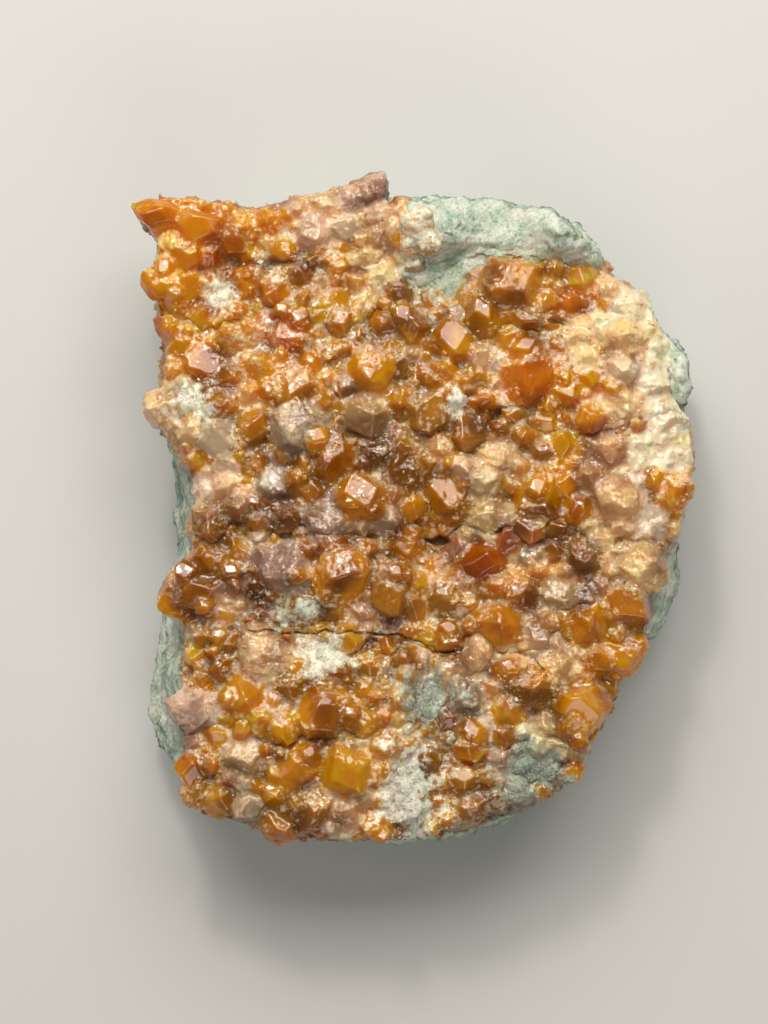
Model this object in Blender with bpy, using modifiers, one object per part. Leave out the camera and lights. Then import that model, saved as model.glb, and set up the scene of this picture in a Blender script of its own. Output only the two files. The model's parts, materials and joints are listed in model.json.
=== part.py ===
"""Garnet crystal cluster: a slab of pale green host rock whose upper face carries a crust of intergrown
orange garnet crystals. Metres, +Z up. The origin is on the flat underside, below the middle of the slab."""

import math
import random

import bmesh
import bpy
from mathutils import Matrix, Vector, noise

MM = 0.001

# Size of the specimen: one pixel of the photograph covers this much of its upper face
PIXEL = 0.066 * MM
CENTRE_PX = (417, 517)

# Levels above the flat underside, and the share of the upper edge's inset that the shoulder has
BELLY_LEVEL = 3.4 * MM
SHOULDER_LEVEL = 6.4 * MM
SHOULDER_INSET = 0.6
ROCK_LEVEL = 8.2 * MM
CRUST_LEVEL = 10.5 * MM

# The flat underside is cut through a foot that tapers inwards and starts below it
FOOT_LEVEL = -1.0 * MM
FOOT_INSET = 1.0 * MM

# Broken faces around the rock's lower rim: how many, where their upper edges lie, and how far they lean
FRACTURES = 12
FRACTURE_TOP = (2.6 * MM, 5.2 * MM)
FRACTURE_DEPTH = (0.2 * MM, 0.7 * MM)
FRACTURE_LEAN = (math.radians(14), math.radians(46))
FRACTURE_SCATTER = 0.3

# Waves and chips of the rock's surface, and how much smaller the finer chips are
ROCK_WAVE = 5.0 * MM
ROCK_WAVE_HEIGHT = 0.3 * MM
ROCK_CHIP = 3.0 * MM
ROCK_CHIP_DEPTH = 0.35 * MM
FINER = 0.4

# The crust's bed: its least thickness, how far it stays off the rock, and the lip that hangs over the edge
LEAST_CRUST = 0.9 * MM
GAP = 0.35 * MM
BED_CLEARANCE = 0.6 * MM
LIP = 1.5 * MM
LIP_WIDTH = 1.0 * MM

# The crust thins towards its outline
EDGE_DROP = 0.9 * MM
EDGE_WIDTH = 1.3 * MM

# Waves of the bed, and the small crystals that cover it
BED_WAVE = 2.2 * MM
BED_WAVE_HEIGHT = 0.35 * MM
LUMP = 1.9 * MM
LUMP_HEIGHT = 0.9 * MM

# How finely the rock and the bed are modelled: the grid's step, and the share of its faces that is kept
GRID = 0.8 * MM
ROCK_DETAIL = 0.12
BED_DETAIL = 0.055

# Single crystals: how much wider than the part that shows, how far they stand out of the bed as a share of
# their radius, how uneven they are, and the least radius, in millimetres, that is fused into the crust
BURIED = 1.16
STAND = 0.16
UNEVEN = (0.88, 1.12)
LEAST_FUSED = 0.95

# Widest outline of the rock: pixel x, pixel y, and how far in millimetres its upper edge lies inside it
ROCK_OUTLINE = [
    (180, 798, 0.9), (152, 765, 2.2), (137, 725, 3.0), (140, 688, 2.8), (151, 640, 2.2), (160, 590, 2.0),
    (168, 540, 1.6), (167, 490, 1.5), (163, 445, 0.9), (158, 405, 0.6), (156, 365, 0.8), (164, 325, 0.7),
    (166, 280, 0.5), (174, 240, 0.5), (205, 214, 0.4), (260, 211, 0.3), (320, 202, 0.3), (370, 192, 0.4),
    (440, 190, 0.5), (500, 192, 0.6), (545, 199, 0.7), (582, 218, 0.7), (604, 245, 0.6), (613, 277, 0.5),
    (641, 291, 0.5), (662, 320, 0.5), (686, 337, 0.6), (699, 362, 0.7), (691, 410, 0.4), (698, 450, 0.4),
    (690, 500, 0.5), (684, 540, 1.2), (691, 588, 1.8), (685, 622, 2.0), (662, 652, 1.9), (628, 684, 1.4),
    (610, 712, 0.9), (596, 748, 0.7), (572, 780, 0.6), (544, 811, 0.6), (508, 833, 0.8), (462, 845, 0.9),
    (405, 855, 1.0), (350, 842, 0.4), (298, 840, 0.4), (250, 831, 0.4), (208, 818, 0.5),
]

# Outline of the garnet crust in pixels. It leaves the rock bare at the upper right and at the right corner
CRUST_OUTLINE = [
    (138, 204), (168, 197), (205, 200), (255, 207), (305, 196), (345, 184), (376, 180), (393, 200),
    (392, 235), (404, 268), (424, 294), (452, 296), (470, 268), (500, 256), (545, 252), (580, 254),
    (606, 270), (640, 293), (658, 320), (668, 345), (668, 378), (680, 405), (691, 432), (695, 462),
    (687, 500), (680, 535), (664, 562), (656, 592), (648, 625), (640, 656), (616, 690), (600, 732),
    (580, 768), (554, 795), (520, 812), (470, 830), (420, 838), (350, 843), (298, 838), (248, 826),
    (206, 814), (187, 790), (184, 752), (186, 715), (180, 680), (184, 646), (180, 618), (176, 575),
    (191, 548), (196, 515), (190, 478), (172, 448), (154, 415), (163, 382), (164, 345), (157, 312),
    (152, 272), (158, 245), (146, 226),
]

# Rise and fall of the crust: pixel x, pixel y, spread and height in millimetres
CRUST_RELIEF = [
    (325, 700, 5.0, 1.3), (300, 425, 4.5, 0.9), (205, 590, 3.0, 0.3), (345, 545, 3.5, 0.6),
    (500, 290, 3.0, 0.5), (450, 420, 4.0, 0.5), (620, 380, 5.0, 0.4), (575, 640, 5.0, 0.5),
    (165, 222, 3.0, 0.8), (240, 266, 2.0, -1.3), (440, 545, 1.5, -1.6), (590, 300, 2.2, -1.0),
    (355, 275, 2.0, -0.6), (265, 620, 2.2, -0.8), (430, 645, 2.5, -0.7), (330, 635, 2.5, -0.5),
]

# Rock that rises through or beside the crust: pixel x, pixel y, half width, half height and rise, in mm
ROCK_RISES = [
    (500, 222, 7.5, 2.6, 2.7), (425, 235, 2.2, 2.8, 2.4), (578, 235, 2.6, 2.4, 2.2),
    (690, 370, 1.6, 2.6, 2.6),
    (431, 698, 1.7, 2.1, 3.0), (411, 792, 1.8, 3.0, 3.4), (324, 655, 1.1, 1.3, 3.6),
    (536, 768, 2.2, 1.7, 2.9),
]

# Crystals by region: pixel x, pixel y and radius in millimetres
CRYSTALS = {
    "top left spur": [
        (150, 213, 1.25), (173, 223, 1.55), (201, 231, 1.5), (228, 240, 1.5),
    ],
    "upper edge": [
        (267, 222, 0.95), (284, 247, 0.95), (300, 208, 0.9), (326, 208, 1.0), (346, 228, 1.1),
        (312, 232, 1.0), (371, 193, 1.2), (350, 200, 0.8), (378, 232, 0.9), (366, 255, 0.9),
        (330, 262, 1.0), (302, 272, 1.0),
    ],
    "upper left": [
        (161, 284, 1.2), (182, 288, 1.3), (202, 317, 1.1), (246, 284, 1.45), (169, 327, 1.0),
        (252, 333, 1.2), (204, 363, 1.85), (289, 331, 1.8), (338, 303, 1.1), (228, 378, 0.9),
        (262, 366, 1.0), (322, 352, 0.9), (181, 345, 0.8), (222, 318, 0.8),
    ],
    "middle left": [
        (300, 389, 1.45), (297, 428, 2.2), (332, 456, 1.5), (367, 417, 1.5), (221, 405, 0.95),
        (163, 408, 1.2), (196, 460, 0.8), (222, 436, 1.45), (190, 430, 1.1), (255, 428, 1.1),
        (258, 462, 1.0), (186, 405, 0.9), (345, 388, 0.9),
    ],
    "upper middle": [
        (386, 325, 1.15), (415, 328, 1.15), (371, 373, 1.4), (398, 368, 0.9), (396, 296, 1.0),
        (366, 300, 0.9), (398, 402, 1.0), (432, 300, 0.8), (358, 337, 0.8),
    ],
    "upper right": [
        (512, 287, 2.0), (551, 268, 0.95), (579, 276, 1.15), (571, 303, 1.3), (485, 322, 1.3),
        (523, 318, 1.0), (452, 340, 1.5), (508, 340, 1.2), (527, 378, 1.8), (500, 362, 1.1),
        (564, 391, 1.15), (586, 377, 0.75), (444, 372, 0.95), (425, 413, 1.65), (464, 434, 1.65),
        (541, 421, 0.95), (588, 418, 1.0), (562, 444, 0.9), (476, 380, 1.0), (470, 300, 1.0),
        (514, 412, 1.1), (484, 400, 0.9), (554, 345, 0.9),
    ],
    "pale band": [
        (628, 310, 1.4), (578, 340, 1.3), (584, 362, 1.0), (622, 340, 1.4), (616, 402, 1.6),
        (652, 350, 1.2), (650, 385, 1.3), (662, 424, 1.4), (640, 448, 1.4), (606, 450, 1.3),
        (676, 492, 1.15), (650, 520, 1.5), (614, 498, 1.4), (640, 566, 1.75), (626, 605, 1.7),
        (665, 460, 1.3), (598, 540, 1.2), (590, 478, 1.0),
    ],
    "centre": [
        (227, 488, 1.1), (211, 523, 1.3), (238, 547, 1.1), (275, 484, 1.25), (313, 492, 0.95),
        (327, 518, 1.75), (362, 498, 1.4), (384, 520, 1.0), (402, 538, 1.5), (332, 545, 1.3),
        (287, 566, 1.65), (341, 573, 1.8), (431, 566, 1.1), (444, 494, 2.0), (489, 516, 1.1),
        (499, 459, 1.2), (388, 593, 1.45), (412, 606, 1.3), (259, 520, 0.9), (288, 518, 0.9),
        (368, 548, 0.9), (402, 470, 1.1), (378, 450, 1.0), (412, 508, 1.0),
    ],
    "left edge": [
        (203, 590, 2.4), (222, 601, 0.75), (238, 604, 0.65), (303, 608, 1.35), (250, 622, 0.9),
        (255, 585, 0.9), (262, 555, 0.8), (208, 634, 0.9),
    ],
    "middle right": [
        (473, 558, 1.6), (499, 562, 1.6), (538, 498, 1.65), (566, 483, 0.95), (587, 624, 1.65),
        (560, 594, 1.2), (584, 597, 0.9), (500, 626, 1.8), (449, 641, 1.2), (447, 598, 1.3),
        (477, 654, 1.2), (510, 667, 1.0), (620, 656, 1.5), (581, 559, 1.3), (532, 555, 1.05),
        (536, 640, 0.95), (552, 528, 1.0), (520, 592, 0.95), (598, 660, 1.0), (560, 668, 0.95),
    ],
    "lower left": [
        (269, 655, 1.75), (246, 696, 1.45), (323, 712, 2.15), (367, 668, 1.1), (365, 722, 1.3),
        (198, 708, 1.5), (203, 681, 0.9), (399, 698, 0.95), (290, 688, 1.0), (244, 757, 1.85),
        (299, 765, 1.4), (346, 765, 1.7), (222, 798, 1.2), (199, 793, 1.1), (247, 806, 1.0),
        (344, 812, 1.35), (313, 804, 1.4), (379, 824, 1.1), (280, 826, 1.2), (275, 790, 0.95),
        (192, 768, 1.05), (218, 735, 1.1), (385, 742, 1.0), (377, 775, 1.0), (284, 730, 1.0),
        (222, 668, 0.85), (196, 656, 0.8),
    ],
    "lower right": [
        (580, 706, 1.7), (530, 684, 1.75), (508, 710, 1.05), (467, 698, 1.1), (431, 757, 1.2),
        (468, 748, 1.1), (471, 806, 1.1), (498, 757, 1.0), (560, 744, 0.95), (572, 772, 0.8),
        (446, 818, 0.9), (462, 778, 1.0), (497, 800, 0.95), (480, 724, 0.9), (545, 722, 0.9),
    ],
}


def remove_old_objects():
    for old in list(bpy.data.objects):
        bpy.data.objects.remove(old, do_unlink=True)


def new_collection(name):
    made = bpy.data.collections.new(name)
    bpy.context.scene.collection.children.link(made)
    return made


def spot(px, py):
    """The point of the specimen, seen from above, under a pixel of the photograph."""
    return Vector(((px - CENTRE_PX[0]) * PIXEL, (CENTRE_PX[1] - py) * PIXEL, 0.0))


def distance_inside(point, outline):
    """How far a point lies inside a closed outline of corners. It is negative outside."""
    nearest = math.inf
    inside = False
    for a, b in zip(outline, outline[1:] + outline[:1]):
        along = b - a
        share = max(0.0, min(1.0, (point - a).dot(along) / along.length_squared))
        nearest = min(nearest, (point - a - along * share).length)
        if (a.y > point.y) != (b.y > point.y):
            if point.x < a.x + along.x * (point.y - a.y) / along.y:
                inside = not inside
    return nearest if inside else -nearest


def rock_top(x, y):
    """Height of the rock's upper face, with the places where it comes up through the crust."""
    height = ROCK_LEVEL + ROCK_WAVE_HEIGHT * noise.noise(Vector((x, y, 0.0)) / ROCK_WAVE)
    for px, py, half_width, half_height, rise in ROCK_RISES:
        away = spot(px, py) - Vector((x, y, 0.0))
        reach = math.hypot(away.x / (half_width * MM), away.y / (half_height * MM))
        height += rise * MM / (1.0 + reach ** 6)
    return height


def crust_top(x, y):
    """Height of the crust's bed, from which the crystals stand up."""
    here = Vector((x, y, 0.0))
    height = CRUST_LEVEL + BED_WAVE_HEIGHT * noise.noise(here / BED_WAVE + Vector((7.0, 3.0, 1.0)))
    for px, py, spread, rise in CRUST_RELIEF:
        away = (spot(px, py) - here).length / (spread * MM)
        height += rise * MM * math.exp(-0.5 * away * away)
    inside = max(0.0, distance_inside(here, CRUST_EDGE))
    return height - EDGE_DROP * math.exp(-inside / EDGE_WIDTH)


def ringed_solid(corners, levels):
    """A closed solid lofted by extruding one ring of corners upwards. Each level is (z, insets)."""
    shape = bmesh.new()
    ring = [shape.verts.new(p) for p in corners]
    for a, b in zip(ring, ring[1:] + ring[:1]):
        shape.edges.new((a, b))
    edges = list(shape.edges)
    for step, (z, insets) in enumerate(levels):
        if step:
            made = bmesh.ops.extrude_edge_only(shape, edges=edges)["geom"]
            new_verts = set(g for g in made if isinstance(g, bmesh.types.BMVert))
            edges = [g for g in made if isinstance(g, bmesh.types.BMEdge)
                     and all(v in new_verts for v in g.verts)]
            ring = [next(e.other_vert(v) for e in v.link_edges if e.other_vert(v) in new_verts) for v in ring]
        for vert, corner, inset in zip(ring, corners, insets):
            vert.co = corner - corner.normalized() * inset
            vert.co.z = z
    bmesh.ops.holes_fill(shape, edges=shape.edges, sides=0)
    bmesh.ops.triangulate(shape, faces=[f for f in shape.faces if len(f.verts) > 4])
    bmesh.ops.recalc_face_normals(shape, faces=shape.faces)
    return shape


def object_from(shape, name, collection):
    mesh = bpy.data.meshes.new(name)
    shape.to_mesh(mesh)
    shape.free()
    made = bpy.data.objects.new(name, mesh)
    collection.objects.link(made)
    return made


def apply_modifiers(thing):
    """Turns what the modifiers show into the object's own mesh."""
    bpy.context.view_layer.update()
    graph = bpy.context.evaluated_depsgraph_get()
    mesh = bpy.data.meshes.new_from_object(thing.evaluated_get(graph))
    thing.modifiers.clear()
    thing.data = mesh
    return mesh


def remeshed(thing, voxel):
    grid = thing.modifiers.new("even grid", "REMESH")
    grid.mode = "VOXEL"
    grid.voxel_size = voxel
    return apply_modifiers(thing)


def simplified(thing, share):
    fewer = thing.modifiers.new("broad facets", "DECIMATE")
    fewer.ratio = share
    fewer.use_collapse_triangulate = True
    return apply_modifiers(thing)


def as_helper(thing):
    thing.hide_render = True
    thing.display_type = "WIRE"


def plain_material(name, colour, roughness, transmission=0.0):
    made = bpy.data.materials.new(name)
    made.use_nodes = True
    shader = made.node_tree.nodes["Principled BSDF"]
    shader.inputs["Base Color"].default_value = (*colour, 1.0)
    shader.inputs["Roughness"].default_value = roughness
    shader.inputs["Metallic"].default_value = 0.0
    shader.inputs["Transmission Weight"].default_value = transmission
    return made


def chipped(point, size, depth):
    """An offset for a broken surface: broad lumps with finer chips on them."""
    broad = noise.noise(point / size)
    fine = noise.noise(point / (FINER * size) + Vector((5.0, 9.0, 2.0)))
    return depth * (broad + FINER * fine)


def cut_flat(shape, point, normal):
    """Takes away what lies beyond a plane and closes the cut."""
    everything = shape.verts[:] + shape.edges[:] + shape.faces[:]
    bmesh.ops.bisect_plane(shape, geom=everything, plane_co=point, plane_no=normal, clear_outer=True)
    bmesh.ops.holes_fill(shape, edges=[e for e in shape.edges if e.is_boundary], sides=0)
    bmesh.ops.triangulate(shape, faces=[f for f in shape.faces if len(f.verts) > 4])


def break_rim(shape, corners):
    """Breaks flat faces off the rock's lower rim, all the way round."""
    chance = random.Random("rim")
    for number in range(FRACTURES):
        bearing = math.tau * (number + chance.uniform(-FRACTURE_SCATTER, FRACTURE_SCATTER)) / FRACTURES
        outward = Vector((math.cos(bearing), math.sin(bearing), 0.0))
        point = max(corners, key=outward.dot) - outward * chance.uniform(*FRACTURE_DEPTH)
        point.z = chance.uniform(*FRACTURE_TOP)
        lean = chance.uniform(*FRACTURE_LEAN)
        cut_flat(shape, point, outward * math.cos(lean) - Vector((0.0, 0.0, math.sin(lean))))


def build_rock(collection):
    """The slab of host rock: a broken lower rim, a belly, an upper face with rises, and a flat underside."""
    corners = [spot(px, py) for px, py, _ in ROCK_OUTLINE]
    insets = [inset * MM for _, _, inset in ROCK_OUTLINE]
    levels = [
        (FOOT_LEVEL, [FOOT_INSET] * len(corners)),
        (BELLY_LEVEL, [0.0] * len(corners)),
        (SHOULDER_LEVEL, [SHOULDER_INSET * inset for inset in insets]),
        (ROCK_LEVEL, insets),
    ]
    rock = object_from(ringed_solid(corners, levels), "host_rock", collection)
    mesh = remeshed(rock, GRID)
    for vert in mesh.vertices:
        top_share = max(0.0, (vert.co.z - SHOULDER_LEVEL) / (ROCK_LEVEL - SHOULDER_LEVEL))
        vert.co.z += (rock_top(vert.co.x, vert.co.y) - ROCK_LEVEL) * min(1.0, top_share)
        vert.co += vert.normal * chipped(vert.co, ROCK_CHIP, ROCK_CHIP_DEPTH)
    shape = bmesh.new()
    shape.from_mesh(mesh)
    break_rim(shape, corners)
    shape.to_mesh(mesh)
    shape.free()
    simplified(rock, ROCK_DETAIL)
    shape = bmesh.new()
    shape.from_mesh(rock.data)
    cut_flat(shape, Vector(), Vector((0.0, 0.0, -1.0)))
    bmesh.ops.triangulate(shape, faces=shape.faces)
    bmesh.ops.recalc_face_normals(shape, faces=shape.faces)
    shape.to_mesh(rock.data)
    shape.free()
    rock.data.materials.append(plain_material("pale green rock", (0.42, 0.52, 0.42), 0.75))
    return rock


def build_rock_clearance(rock, collection):
    """The rock grown by the gap on every side, which the crust is cut back from."""
    grown = bpy.data.objects.new("rock clearance", rock.data.copy())
    collection.objects.link(grown)
    swell = grown.modifiers.new("gap", "DISPLACE")
    swell.strength = GAP
    swell.mid_level = 0.0
    apply_modifiers(grown)
    as_helper(grown)
    return grown


def build_bed(collection):
    """The layer of massive garnet that the crystals grow from. Its edge hangs over the rock as a lip."""
    insets = [0.0] * len(CRUST_EDGE)
    low = ROCK_LEVEL
    levels = [(low, insets), (CRUST_LEVEL, insets)]
    bed = object_from(ringed_solid(CRUST_EDGE, levels), "garnet_crust", collection)
    mesh = remeshed(bed, GRID)
    for vert in mesh.vertices:
        here = Vector((vert.co.x, vert.co.y, 0.0))
        share = max(0.0, min(1.0, (vert.co.z - low) / (CRUST_LEVEL - low)))
        high = crust_top(here.x, here.y)
        inside = max(0.0, distance_inside(here, CRUST_EDGE))
        floor = min(rock_top(here.x, here.y) + BED_CLEARANCE, high - LEAST_CRUST)
        floor -= LIP * math.exp(-(inside / LIP_WIDTH) ** 2)
        nearest = noise.voronoi(here / LUMP)[0][0]
        vert.co.z = floor + (high - floor + LUMP_HEIGHT * (0.5 - nearest)) * share
    simplified(bed, BED_DETAIL)
    return bed


def dodecahedron(radius, turn, stretch):
    """A rhombic dodecahedron: a cube with a pyramid raised on each face, so that pairs of slopes are flush."""
    shape = bmesh.new()
    half = 0.5 * radius
    bmesh.ops.create_cube(shape, size=2.0 * half)
    cube_edges = shape.edges[:]
    bmesh.ops.poke(shape, faces=shape.faces, offset=half)
    bmesh.ops.dissolve_edges(shape, edges=cube_edges)
    bmesh.ops.scale(shape, vec=stretch, verts=shape.verts)
    bmesh.ops.rotate(shape, matrix=turn, verts=shape.verts)
    return shape


def build_crystals(collection):
    """One closed garnet for each entry of the table, turned and stretched a little at random."""
    for region, entries in CRYSTALS.items():
        for number, (px, py, radius_mm) in enumerate(entries):
            if radius_mm < LEAST_FUSED:
                continue
            name = f"{region} {number}"
            chance = random.Random(name)
            turn = Matrix.Identity(3)
            for axis in "ZXY":
                turn = turn @ Matrix.Rotation(chance.uniform(0.0, math.tau), 3, axis)
            stretch = [chance.uniform(*UNEVEN) for _ in range(3)]
            radius = BURIED * radius_mm * MM
            shape = dodecahedron(radius, turn, stretch)
            middle = spot(px, py)
            middle.z = crust_top(middle.x, middle.y) + STAND * radius
            bmesh.ops.translate(shape, vec=middle, verts=shape.verts)
            as_helper(object_from(shape, name, collection))


def keep_largest_body(thing):
    """Drops the loose chips that cutting leaves behind."""
    shape = bmesh.new()
    shape.from_mesh(thing.data)
    left = set(shape.verts)
    bodies = []
    while left:
        front = [left.pop()]
        body = set(front)
        while front:
            for edge in front.pop().link_edges:
                for vert in edge.verts:
                    if vert in left:
                        left.discard(vert)
                        body.add(vert)
                        front.append(vert)
        bodies.append(body)
    bodies.sort(key=len)
    for body in bodies[:-1]:
        bmesh.ops.delete(shape, geom=list(body), context="VERTS")
    bmesh.ops.triangulate(shape, faces=shape.faces)
    shape.to_mesh(thing.data)
    shape.free()


def build_crust(rock, collection, helpers, crystal_helpers):
    """The bed with every crystal fused to it, cut back so that it clears the rock."""
    crust = build_bed(collection)
    build_crystals(crystal_helpers)
    fuse = crust.modifiers.new("crystals", "BOOLEAN")
    fuse.operation = "UNION"
    fuse.operand_type = "COLLECTION"
    fuse.collection = crystal_helpers
    fuse.solver = "EXACT"
    apply_modifiers(crust)
    clear = crust.modifiers.new("rock clearance", "BOOLEAN")
    clear.operation = "DIFFERENCE"
    clear.object = build_rock_clearance(rock, helpers)
    clear.solver = "EXACT"
    apply_modifiers(crust)
    keep_largest_body(crust)
    crust.data.materials.clear()
    crust.data.materials.append(plain_material("orange garnet", (0.75, 0.28, 0.03), 0.2, 0.4))
    return crust


CRUST_EDGE = [spot(px, py) for px, py in CRUST_OUTLINE]


def main():
    remove_old_objects()
    cluster = new_collection("garnet crystal cluster")
    helpers = new_collection("cutters")
    crystal_helpers = new_collection("single crystals")
    rock = build_rock(cluster)
    build_crust(rock, cluster, helpers, crystal_helpers)


main()
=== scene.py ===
"""Looks of the garnet crystal cluster: its host rock, the bed of massive garnet, the single crystals on it,
the sugary small crystals between them, and the pale dust. Metres, +Z up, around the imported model."""

import json
import math
import random

import bmesh
import bpy
import numpy as np
from mathutils import Matrix, Vector, noise
from mathutils.bvhtree import BVHTree
from mathutils.kdtree import KDTree

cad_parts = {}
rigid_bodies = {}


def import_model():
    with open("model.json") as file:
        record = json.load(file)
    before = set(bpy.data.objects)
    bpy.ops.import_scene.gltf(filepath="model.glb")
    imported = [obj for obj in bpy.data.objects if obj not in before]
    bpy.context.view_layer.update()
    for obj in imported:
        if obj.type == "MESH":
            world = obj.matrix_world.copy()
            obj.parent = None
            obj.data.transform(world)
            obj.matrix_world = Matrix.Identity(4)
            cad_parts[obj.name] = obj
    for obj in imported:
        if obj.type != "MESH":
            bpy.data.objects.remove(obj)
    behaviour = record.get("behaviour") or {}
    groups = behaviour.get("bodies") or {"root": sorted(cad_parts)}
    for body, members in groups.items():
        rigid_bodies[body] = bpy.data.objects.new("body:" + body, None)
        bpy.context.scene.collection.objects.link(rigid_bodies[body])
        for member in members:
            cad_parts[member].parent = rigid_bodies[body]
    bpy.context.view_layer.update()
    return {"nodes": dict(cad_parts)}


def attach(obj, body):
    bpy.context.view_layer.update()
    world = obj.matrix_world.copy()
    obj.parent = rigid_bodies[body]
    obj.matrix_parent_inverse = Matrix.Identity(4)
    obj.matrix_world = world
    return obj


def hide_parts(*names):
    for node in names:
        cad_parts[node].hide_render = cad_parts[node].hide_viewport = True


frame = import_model()

MM = 0.001

# The photograph's frame, what one of its pixels covers on the crystal face, and the pixel above the origin
FRAME_PX = (768, 1024)
PIXEL = 0.066 * MM
CENTRE_PX = (417, 517)

# Camera
CAMERA_HEIGHT = 0.240
FACE_LEVEL = 10.5 * MM
SENSOR = 36.0

# Levels of the model, as in the solids
ROCK_LEVEL = 8.2 * MM
CRUST_LEVEL = 10.5 * MM
BED_WAVE = 2.2 * MM
BED_WAVE_HEIGHT = 0.35 * MM
BED_CLEARANCE = 0.25 * MM
LEAST_CRUST = 0.9 * MM
LIP = 1.5 * MM
LIP_WIDTH = 1.0 * MM
EDGE_DROP = 0.9 * MM
EDGE_WIDTH = 1.3 * MM

# Fine grids of the two grounds
BED_GRID = 0.25 * MM
ROCK_GRID = 0.30 * MM
CRYSTAL_GRID = 0.115 * MM
CLOSING = 0.16 * MM

# The crust is made in bands, each one solid: pixel y between them, and how far their beds reach past it
BANDS = (320, 430, 540, 640, 730)
OVERLAP = 0.3 * MM

# The crust is flat and hollowed out below this level, where nothing shows, inside its outline at this scale
HOLLOW_LEVEL = 9.3 * MM
HOLLOW_SCALE = 0.88

# Single crystals
BURIED = 1.36
STAND = (-0.50, -0.10)
BED_RISE = 0.50 * MM
UNEVEN = (0.84, 1.18)

# Outline of the garnet crust in pixels
CRUST_OUTLINE = [
    (138, 204), (168, 197), (205, 200), (255, 207), (305, 196), (345, 184), (376, 180), (393, 200),
    (392, 235), (404, 268), (424, 294), (452, 296), (470, 268), (500, 256), (545, 252), (580, 254),
    (606, 270), (640, 293), (658, 320), (668, 345), (668, 378), (680, 405), (691, 432), (695, 462),
    (687, 500), (680, 535), (664, 562), (656, 592), (648, 625), (640, 656), (616, 690), (600, 732),
    (580, 768), (554, 795), (520, 812), (470, 830), (420, 838), (350, 843), (298, 838), (248, 826),
    (206, 814), (187, 790), (184, 752), (186, 715), (180, 680), (184, 646), (180, 618), (176, 575),
    (191, 548), (196, 515), (190, 478), (172, 448), (154, 415), (163, 382), (164, 345), (157, 312),
    (152, 272), (158, 245), (146, 226),
]

# Rise and fall of the crust: pixel x, pixel y, spread and height in millimetres
CRUST_RELIEF = [
    (325, 700, 5.0, 1.3), (300, 425, 4.5, 0.9), (205, 590, 3.0, 0.3), (345, 545, 3.5, 0.6),
    (500, 290, 3.0, 0.5), (450, 420, 4.0, 0.5), (620, 380, 5.0, 0.4), (575, 640, 5.0, 0.5),
    (165, 222, 3.0, 0.8), (240, 266, 2.0, -1.3), (440, 545, 1.5, -1.6), (590, 300, 2.2, -1.0),
    (355, 275, 2.0, -0.6), (265, 620, 2.2, -0.8), (430, 645, 2.5, -0.7), (330, 635, 2.5, -0.5),
]

# Rock that comes up through the crust: pixel x, pixel y, half width, half height and rise in millimetres
ROCK_RISES = [
    (500, 222, 7.5, 2.6, 2.7), (425, 235, 2.2, 2.8, 2.4), (578, 235, 2.6, 2.4, 2.2),
    (690, 370, 1.6, 2.6, 2.6),
    (431, 698, 1.7, 2.1, 3.0), (411, 792, 1.8, 3.0, 3.4), (324, 655, 1.1, 1.3, 3.6),
    (536, 768, 2.2, 1.7, 2.9),
]

# More of that rock in the looks, so that it runs in under the crust: the same values
ROCK_BANKS = [
    (455, 262, 3.6, 1.5, 2.45), (520, 247, 5.2, 1.5, 2.65), (576, 250, 2.2, 1.5, 2.2), (416, 262, 1.8, 2.2, 2.3),
    (447, 284, 1.5, 1.5, 2.4),
]

# Fine cracks as rows of pixels, and hollows: pixel x, pixel y, half width, half height in pixels, depth in mm
CRACKS = [
    [(246, 629), (279, 632), (304, 632), (329, 630), (374, 634), (397, 635), (420, 642), (433, 651), (455, 651)],
    [(510, 651), (528, 656), (543, 667)],
]
CRACK_WIDTH = 0.06 * MM
CRACK_DEPTH = 0.40 * MM
HOLLOWS = [
    (437, 541, 11, 4, 0.8), (265, 263, 34, 4, 0.4), (356, 271, 12, 4, 0.4), (560, 322, 12, 4, 0.4),
    (470, 395, 8, 4, 0.4),
]

# Tones of single crystals: colour, and how clear the crystal is
TONES = {
    "r": (0.84, 0.24, 0.001, 1.0),
    "o": (1.00, 0.43, 0.001, 1.0),
    "a": (0.93, 0.41, 0.002, 0.9),
    "y": (1.00, 0.45, 0.012, 0.75),
    "b": (0.58, 0.26, 0.016, 0.5),
    "p": (0.98, 0.64, 0.320, 0.2),
    # m is greyish pink: partly the crystals' own tone, partly a painted sheen over their amber
    "m": (0.68, 0.48, 0.350, 0.4),
    "c": (1.00, 0.84, 0.600, 0.0),
}

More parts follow.
